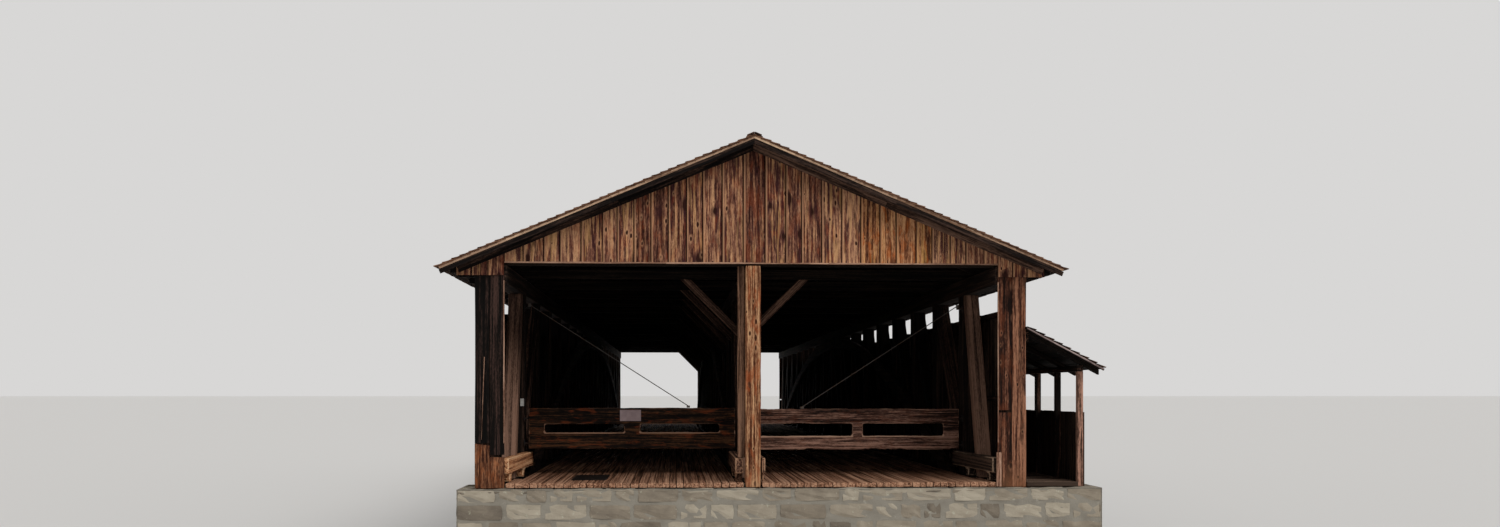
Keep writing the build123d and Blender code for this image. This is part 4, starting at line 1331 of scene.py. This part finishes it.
@dataclass
class Floors:
    """Planks of the two lanes, laid along the bridge, those of the footpath, and the timbers under them."""

    narrow: float = 0.050
    wide: float = 0.078
    seam: float = 0.005
    plank: float = 0.037           # thickness of the planks of the lanes
    walk_plank: float = 0.038      # and of the footpath's
    daylight: float = 1.4          # how far in from a portal the planks are lighter: painted daylight and wear from feet
    plate_centre: Point = (-1.3835, 0.7975, 1.1015)
    plate_size: Point = (0.303, 0.775, 0.004)

    def build(self) -> None:
        """Plank the lanes and the footpath and finish what carries them."""
        self.lanes()
        self.plate()
        pile = Pile("footpath_planks", 62)
        blank = Blank.sawn((0.13, 0.04, 1.6), 2, 0.004)
        low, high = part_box("footpath_floor")
        for y, width in boards(pile.draw, low.y, high.y, 0.09, 0.15):
            z = high.z - self.walk_plank / 2 - 0.0005 - pile.draw.uniform(0.0, 0.002)
            pile.board(blank, (width - 0.004, self.walk_plank, high.x - low.x), ((low.x + high.x) / 2, y, z),
                       CROSSWISE, 0.001)
        pile.raised(Finish.SIDING, "deck_boards", "footpath_floor")
        for number, node in enumerate(("floor_beams", "stringers")):
            worn_copy(node, Finish.TRUSS, seed=65 + number)

    def lanes(self) -> None:
        """Lay long planks side by side in both lanes, with one more at each edge over the abutments."""
        pile = Pile("lane_planks", 61)
        blank = Blank.sawn((0.065, 0.04, 2.4), 4, 0.004)
        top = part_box("deck")[1].z
        inner, lane_inner, lane_outer, outer = sorted({abs(x) for x in levels("deck", 0)})
        first, near_seat, far_seat, last = levels("deck", 1)
        for sign in (-1, 1):
            lines = [(x, width, ((first, last),))
                     for x, width in boards(pile.draw, lane_inner, lane_outer, self.narrow, self.wide)]
            for start, end in ((inner, lane_inner), (lane_outer, outer)):
                lines.append(((start + end) / 2, end - start, ((first, near_seat), (far_seat, last))))
            for x, width, runs in lines:
                for run in runs:
                    self.line(pile, blank, (sign * x, top), width - self.seam, run)
        pile.raised(Finish.DECK, "deck_boards", "deck")

    def line(self, pile: Pile, blank: Blank, place: Range, width: float, run: Range) -> None:
        """Lay one line of planks end to end.

        Args:
            pile: Pile that they join.
            blank: The modelled plank.
            place: Place of their middle across the bridge, and height of the deck.
            width: Width of the planks.
            run: Start and end of the line.
        """
        for y, length in boards(pile.draw, *run, 1.6, 3.0):
            sink = pile.draw.uniform(0.0, 0.0025)
            trim = pile.draw.uniform(0.001, 0.004)
            cast = pile.draw.random()

            def bleached(placed: np.ndarray) -> np.ndarray:
                """Lighter near the portals: painted daylight, and wear from feet."""
                return cast * 0.7 + 0.6 * np.clip(1.0 - inward(placed[:, 1]) / self.daylight, 0.0, 1.0)

            centre = (place[0], y + trim / 2, place[1] - self.plank / 2 - HAIR - sink)
            pile.board(blank, (width, self.plank, length - trim - 0.002), centre, LENGTHWISE, 0.001, bleached)

    def plate(self) -> None:
        """Lay the steel plate on the left lane, its corners cut and its edges rolled over by wheels."""
        piece = block("deck_plate", self.plate_size, self.plate_centre)
        with editing(piece, Pick.EDGES, upright):
            bpy.ops.mesh.bevel(offset=0.03, segments=2)
        alter(piece, "BEVEL", width=0.0012)
        mount(piece, Finish.PLATE, "iron")


@dataclass
class Trusses:
    """Posts, braces, chords and arches of the three trusses, the cross frames, and their bolts."""

    nut: float = 0.016
    nut_height: float = 0.012
    pitch: float = 0.035           # of the two nuts at a crossing, up and down from its middle
    lean: float = 0.03             # and along the bridge

    def build(self) -> None:
        """Finish the timbers and set the bolts."""
        seed = 71
        for side in ("left", "centre", "right"):
            for part in ("truss_posts", "truss_braces", "upper_chord", "lower_chord", "arches"):
                brace = part == "truss_braces"
                piece = worn_copy(f"{side}_{part}", Finish.BRACE if brace else Finish.TRUSS, arris=0.004,
                                  tones=self.daylit if brace else any_tone, seed=seed)
                if brace:
                    self.paint_shade_upward(piece, 0.45)
                seed += 1
        for node, finish, tones in (("tie_beams", Finish.TIE, any_tone),
                                    ("knee_braces", Finish.BRACE, self.shaded_inward),
                                    ("rafters", Finish.TIE, any_tone),
                                    ("girts", Finish.BRACE, self.daylit)):
            worn_copy(node, finish, tones=tones, seed=seed)
            seed += 1
        self.bolts()

    @staticmethod
    def daylit(middle: np.ndarray, draw: random.Random) -> float:
        """Daylight is painted on timbers near a portal, a little less at the left, and shade further in."""
        # Tone of the painted daylight at a portal, a little less at the left.
        bleached = 1.08 if middle[0] < -1.0 else 1.15
        return max(bleached - max(inward(middle[1]) - 1.0, 0.0) * 0.45, 0.12) + draw.uniform(-0.05, 0.05)

    @staticmethod
    def shaded_inward(middle: np.ndarray, draw: random.Random) -> float:
        """Knee braces are dull near a portal and darker further in, with painted shade."""
        return max(0.75 - inward(middle[1]) * 0.1, 0.1) + draw.uniform(-0.05, 0.05)

    @staticmethod
    def paint_shade_upward(piece: bpy.types.Object, fall: float) -> None:
        """Lower the tone of timbers towards their heads: painted shade, as under the eaves."""
        heights = points_of(piece.name)[:, 2]
        share = (heights - heights.min()) / (heights.max() - heights.min())
        note(piece.data, "tone", noted(piece.data, "tone") - fall * share)

    def bolts(self) -> None:
        """Bolt each post to the arches where they cross it."""
        pile = Pile("arch_bolts", 90)
        nut = Blank.nut(self.nut, self.nut_height)
        for side in ("left", "centre", "right"):
            posts, arch = points_of(f"{side}_truss_posts"), points_of(f"{side}_arches")
            crown = middle_of(arch)[1]
            for y in self.post_middles(posts[:, 1]):
                height = middle_of(arch[np.abs(arch[:, 1] - y) < 0.2])[2]
                if not posts[:, 2].min() + 0.05 < height < posts[:, 2].max():
                    continue
                lean = self.lean if y < crown else -self.lean
                for x, outward in ((arch[:, 0].min(), -1), (arch[:, 0].max(), 1)):
                    turn = np.array([(0, -outward, 0), (outward, 0, 0), (0, 0, 1)], float)
                    for step in (-1, 1):
                        spot = np.array([x + outward * self.nut_height / 6, y + step * lean,
                                         height + step * self.pitch])
                        pile.lay(nut, nut.points, spot + nut.points @ turn, turn)
        pile.raised(Finish.IRON, "iron")

    @staticmethod
    def post_middles(places: np.ndarray) -> list[float]:
        """Places of the posts along the bridge, from the sides of all posts."""
        sides = np.unique(np.round(places, 3))
        gaps = np.flatnonzero(np.diff(sides) > 0.6)
        starts, ends = sides[[0, *(gaps + 1)]], sides[[*gaps, -1]]
        return ((starts + ends) / 2).tolist()


@dataclass
class Portal:
    """What stands at the portals: facing boards, posts, the plank beside the centre post and the guards."""

    left_steps: Range = (1.335, 1.43)        # where the inner and outer board end over their new feet
    right_steps: Range = (1.70, 1.06)
    left_tones: Range = (0.6, 0.2)           # of the inner and outer board
    right_tones: Range = (0.2, 0.8)
    strip: Point = (0.009, 0.006, 1.34)      # bleached strip over the inner edge of a corner
    strip_height: float = 2.10               # of its middle
    foot_block: Point = (0.042, 0.012, 0.285)
    foot_height: float = 1.2045
    crack: Point = (0.0045, 0.003, 0.68)     # pale sliver along a crack in the left corner
    crack_place: Range = (-2.223, 1.80)
    crack_lean: float = 0.035

    def build(self) -> None:
        """Finish both portals."""
        posts = partial(worn_copy, "portal_posts", slot="portal_timber")
        posts(Finish.CENTRE, name="centre_posts_worn", voxel=0.010, wear=0.005, seed=101,
              tones=lambda middle, draw: 0.6, part=lambda middle: abs(middle[0]) < 0.05)
        posts(Finish.SIDE_PLANK, name="side_plank_worn", seed=105,
              part=lambda middle: -0.2 < middle[0] < -0.05, stands_for=False)
        posts(Finish.CORNER_POST, name="corner_posts_worn", arris=0.004, seed=106,
              part=lambda middle: abs(middle[0]) > 1.0, stands_for=False)
        for number, (side, finish, part) in enumerate((
                ("left", Finish.GUARD_LEFT, lambda middle: middle[0] < -1.0),
                ("middle", Finish.GUARD_MIDDLE, lambda middle: abs(middle[0]) < 1.0),
                ("right", Finish.GUARD_RIGHT, lambda middle: middle[0] > 1.0))):
            worn_copy("guard_timbers", finish, "guard_wood", f"{side}_guards_worn", voxel=0.011, wear=0.004,
                      seed=110 + number, part=part, stands_for=not number)
        self.facing()

    def facing(self) -> None:
        """Two wide boards side by side on each corner of both portals, each with a newer foot pieced in."""
        piles = {name: Pile(f"{name}_corner_facing", seed) for name, seed in
                 (("left", 104), ("right", 107), ("foot", 108), ("strip", 109))}
        low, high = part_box("corner_boards")
        blank = Blank.sawn((0.12, LAYER, 1.6), 7, 0.003)
        inner = round(np.abs(points_of("corner_boards")[:, 0]).min(), 4)
        width = (high.x - inner) / 2
        for way, face in ((-1, low.y), (1, high.y)):
            y = face - way * LAYER / 2
            for side, foot, sign, steps, tones in (("left", "foot", -1, self.left_steps, self.left_tones),
                                                   ("right", "right", 1, self.right_steps, self.right_tones)):
                for place, (step, tone) in enumerate(zip(steps, tones)):
                    x = sign * (inner + (place + 0.5) * width)
                    top = step - GAP
                    piles[side].board(blank, (width - 0.004, BOARD, high.z - step),
                                      (x, y, (high.z + step) / 2), UPRIGHT, 0.002, tone)
                    piles[foot].board(blank, (width - GAP, BOARD, top - low.z), (x, y, (top + low.z) / 2),
                                      UPRIGHT, 0.002, 0.25 + tone * 0.4, self.broken_top(step, sign))
                edge = sign * (inner + 0.004)
                nailed = [(self.strip, edge, self.strip_height, 0.6)]
                if sign > 0:
                    nailed.append((self.foot_block, edge + 0.006, self.foot_height, 0.75))
                for size, x, height, tone in nailed:
                    place = (x, face + way * size[1] / 2, height)
                    piles["strip"].board(blank, size, place, UPRIGHT, 0.001, tone)
        cos, sin = math.cos(self.crack_lean), math.sin(self.crack_lean)
        piles["strip"].board(blank, self.crack, (self.crack_place[0], low.y - 0.001, self.crack_place[1]),
                             ((cos, 0, -sin), (0, 1, 0), (sin, 0, cos)), 0.001, 0.7)
        piles["left"].raised(Finish.CORNER_LEFT, "portal_timber", "corner_boards")
        piles["right"].raised(Finish.CORNER_RIGHT, "portal_timber")
        piles["foot"].raised(Finish.CORNER_BASE, "portal_timber")
        piles["strip"].raised(Finish.ARRIS, "portal_timber")

    @staticmethod
    def broken_top(step: float, sign: int) -> Shaping:
        """Cut the upper end of a foot aslant, lower towards the lane.

        Args:
            step: Height of the end.
            sign: Side of the bridge, -1 or 1.

        Returns:
            What works the placed points.
        """
        def work(placed: np.ndarray) -> np.ndarray:
            """Slope the points near the end."""
            near = np.clip(1.0 - (step - placed[:, 2]) / 0.08, 0.0, 1.0)
            placed[:, 2] -= near * 0.15 * np.clip(2.29 - sign * placed[:, 0], 0.0, 0.12)
            return placed
        return work


@dataclass
class Footpath:
    """The footpath beside the right-hand lane: posts, beams, rafters and its own shingled roof."""

    coat: ShingleCoat = ShingleCoat(verge=0.3)
    sheathing: Sheathing = Sheathing(thickness=0.0155, depth=0.027, widest=0.16, eave=0.02, verge=0.015)

    def build(self) -> None:
        """Finish the footpath."""
        for number, (node, finish) in enumerate((("footpath_posts", Finish.FOOTPATH),
                                                 ("footpath_beams", Finish.FOOTPATH),
                                                 ("footpath_rafters", Finish.TIE))):
            worn_copy(node, finish, tones=self.daylit, seed=121 + number)
        plane = RoofPlane("footpath_roof")
        self.coat.lay(plane, "footpath_shingles", 131, "footpath_roof")
        pile = Pile("footpath_sheathing", 132)
        self.sheathing.lay(pile, plane)
        pile.raised(Finish.TIE, "shingles")
        self.rakes(plane)

    @staticmethod
    def daylit(middle: np.ndarray, draw: random.Random) -> float:
        """Painted daylight on the posts at both ends, and painted shade on what stands between them."""
        return 0.72 if inward(middle[1]) < 0.2 and middle[0] > 2.6 else draw.uniform(0.0, 0.15)

    @staticmethod
    def rakes(plane: RoofPlane) -> None:
        """Nail a bleached strip and a darker board under it along both ends of the lean-to roof."""
        blank = Blank.sawn((0.04, LAYER, 1.5), 5, 0.002)
        for name, finish, drop, height, thickness in (
                ("footpath_rake_strips", Finish.LEAN_RAKE, 0.022, 0.014, 0.012),
                ("footpath_rake_boards", Finish.FLY, 0.0245, 0.016, 0.009)):
            pile = Pile(name, 135)
            for y in (plane.start + LAYER / 2, plane.end - LAYER / 2):
                centre = plane.place(plane.length / 2, -drop - height / 2, y)
                pile.board(blank, (height, thickness, plane.length - 0.012), centre,
                           (plane.out, (0, 1, 0), plane.up), 0.0008)
            pile.raised(finish, "shingles")


@dataclass
class Gates:
    """The two plank gates with their ironwork, the plain board on the left one and the box beside it."""

    board_centre: Point = (-1.055, 1.33515, 1.638)
    board_size: Point = (0.192, 0.0073, 0.102)
    box_centre: Point = (-2.0475, 1.39175, 1.759)
    box_size: Point = (0.033, 0.0155, 0.070)
    lower_tone: float = 0.78
    upper_tone: float = 0.28
    rubbed: float = 0.012          # how near to the lower plank's upper edge the painted highlight reaches

    def build(self) -> None:
        """Finish the gates."""
        self.leaf("left", Body.LEFT_GATE, Finish.GATE_LEFT, (0.004, 0.002, 0.003, 0.003))
        self.leaf("right", Body.RIGHT_GATE, Finish.GATE_RIGHT, (0.014, 0.004, 0.006, 0.004))
        dress("gate_brackets", Finish.IRON)
        self.slab("plain_board", self.board_size, self.board_centre, 0.0012)
        mount(bpy.data.objects["plain_board"], Finish.SIGN, "gate_wood", body=Body.LEFT_GATE)
        self.slab("meter_box", self.box_size, self.box_centre, 0.002)
        mount(bpy.data.objects["meter_box"], Finish.WHITE, "iron")

    def leaf(self, side: str, body: Body, finish: Finish, bites: Sequence[float]) -> None:
        """Finish one gate.

        Args:
            side: Which gate, left or right.
            body: Its body.
            finish: Finish of its planks.
            bites: How deep the edges of its planks are eaten into, from the lowest up.
        """
        node = f"{side}_gate_leaf"
        heights = levels(node, 2)
        piece = worn_copy(node, finish, "gate_wood", f"{side}_gate_planks", voxel=0.008, wear=0.006,
                          body=body, seed=141)
        z = points_of(piece.name)[:, 2]
        lower = z < (heights[1] + heights[-2]) / 2
        note(piece.data, "tone", np.where(lower, self.lower_tone, self.upper_tone))
        # Painted highlight: the lower plank's upper edge is made brighter than the others.
        edge_highlight = np.where(np.abs(z - heights[1]) < self.rubbed, 2.2, 0.6)
        note(piece.data, "edge", noted(piece.data, "edge") * edge_highlight)
        for number, level in enumerate((heights[0], heights[1], heights[-2], heights[-1])):
            ragged(piece, level, bites[number], number % 2 == 0, 143 + number)
        dress(f"{side}_gate_straps", Finish.IRON)
        dress(f"{side}_gate_stay", Finish.STAY)

    @staticmethod
    def slab(name: str, size: Point, centre: Point, arris: float) -> None:
        """Model a small plate with a raised rim and rounded edges.

        Args:
            name: Name of the piece.
            size: Width, depth and height.
            centre: Place of its middle.
            arris: Radius of its edges.
        """
        piece = block(name, size, centre)
        with editing(piece, Pick.FACES, lambda mesh: [face.normal.y < -0.9 for face in mesh.polygons]):
            bpy.ops.mesh.inset(thickness=size[2] * 0.06, depth=-size[1] * 0.15)
        alter(piece, "BEVEL", width=arris, segments=2, limit_method="ANGLE")


@dataclass
class Abutments:
    """Rubble stones over the two masses of masonry, with mortar a little behind their faces."""

    course: Range = (0.09, 0.15)
    lengths: Range = (0.16, 0.42)
    depth: float = 0.05
    joint: float = 0.012
    inset: float = 0.012           # how far the mortar lies behind the stones

    def build(self) -> None:
        """Face both abutments and finish their cores."""
        self.blanks = [Blank.stone((0.26, 0.09, 0.12), seed) for seed in range(6)]
        for number, node in enumerate(("near_abutment", "far_abutment")):
            self.core(node)
            low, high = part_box(node)
            front, out, back = (low.y, 1, high.y) if number == 0 else (high.y, -1, low.y)
            seat_start, seat_end = sorted((y for y in levels(node, 1) if abs(y - front) > 0.1
                                           and abs(y - back) > 0.01), key=lambda y: abs(y - front))
            footing, seat, top = (z for z in levels(node, 2) if z > 0.01)
            steps = (((front, seat_start), top), ((seat_start, seat_end), seat), ((seat_end, back), footing))
            pile = Pile(f"{node}_stones", 151 + number)
            across = (low.x, high.x)
            self.wall(pile, across, (0.0, top), lambda s, z: (s, front, z), (0, -out, 0))
            for y, rows in ((seat_end, (footing, seat)), (back, (0.0, footing)), (seat_start, (seat, top))):
                self.wall(pile, across, rows, lambda s, z: (s, y, z), (0, out, 0))
            for x, side in ((low.x, -1), (high.x, 1)):
                for ends, height in steps:
                    self.wall(pile, sorted(ends), (0.0, height), lambda s, z: (x, s, z), (side, 0, 0))
            for ends, height in steps:
                self.wall(pile, across, sorted(ends), lambda s, t: (s, t, height), (0, 0, 1))
            pile.points = [np.clip(points, low, high) for points in pile.points]
            for points in pile.points:
                points[points[:, 2] < self.joint, 2] = 0.0
            pile.raised(Finish.STONE, "stone")

    def core(self, node: str) -> None:
        """Model the mortar behind the stones and let it stand for a node."""
        piece = worn_copy(node, Finish.MORTAR, "stone", f"{node}_core", seed=150)
        with editing(piece):
            bpy.ops.transform.shrink_fatten(value=-self.inset, use_even_offset=True)
        for vertex in piece.data.vertices:
            if vertex.co.z < self.inset * 2:
                vertex.co.z = 0.0

    def wall(self, pile: Pile, span: Sequence[float], rows: Range, spot: Callable[[float, float], Point],
             outward: Point) -> None:
        """Lay courses of stones over one face.

        Args:
            pile: Pile that the stones join.
            span: Start and end of the face.
            rows: Lower and upper end of its courses.
            spot: Turns a distance along the face and a height into a point on it.
            outward: Direction in which the face looks.
        """
        normal = np.array(outward, float)
        upwards = (0.0, 0.0, 1.0) if not normal[2] else (0.0, 1.0, 0.0)
        turn = np.array([np.cross(upwards, -normal), -normal, upwards])
        for row, rise in boards(pile.draw, *rows, *self.course):
            for at, length in boards(pile.draw, *span, *self.lengths):
                blank = pile.draw.choice(self.blanks)
                local = blank.fitted((length - self.joint, self.depth, rise - self.joint))
                sink = self.depth / 2 + pile.draw.uniform(0.0, 0.005)
                pile.lay(blank, local, np.array(spot(at, row)) - normal * sink + local @ turn, turn)


def main() -> None:
    """Build the looks of the bridge and say how large it is."""
    logging.basicConfig(level=logging.INFO, format="%(message)s")
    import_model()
    Viewpoint().build()
    Studio().build()
    for part in (GableWall(), Roof(), Portal(), Gates(), Trusses(), Sides(), Floors(), Footpath(),
                 Abutments()):
        log.info("building %s", type(part).__name__)
        part.build()


if __name__ == "__main__":
    main()
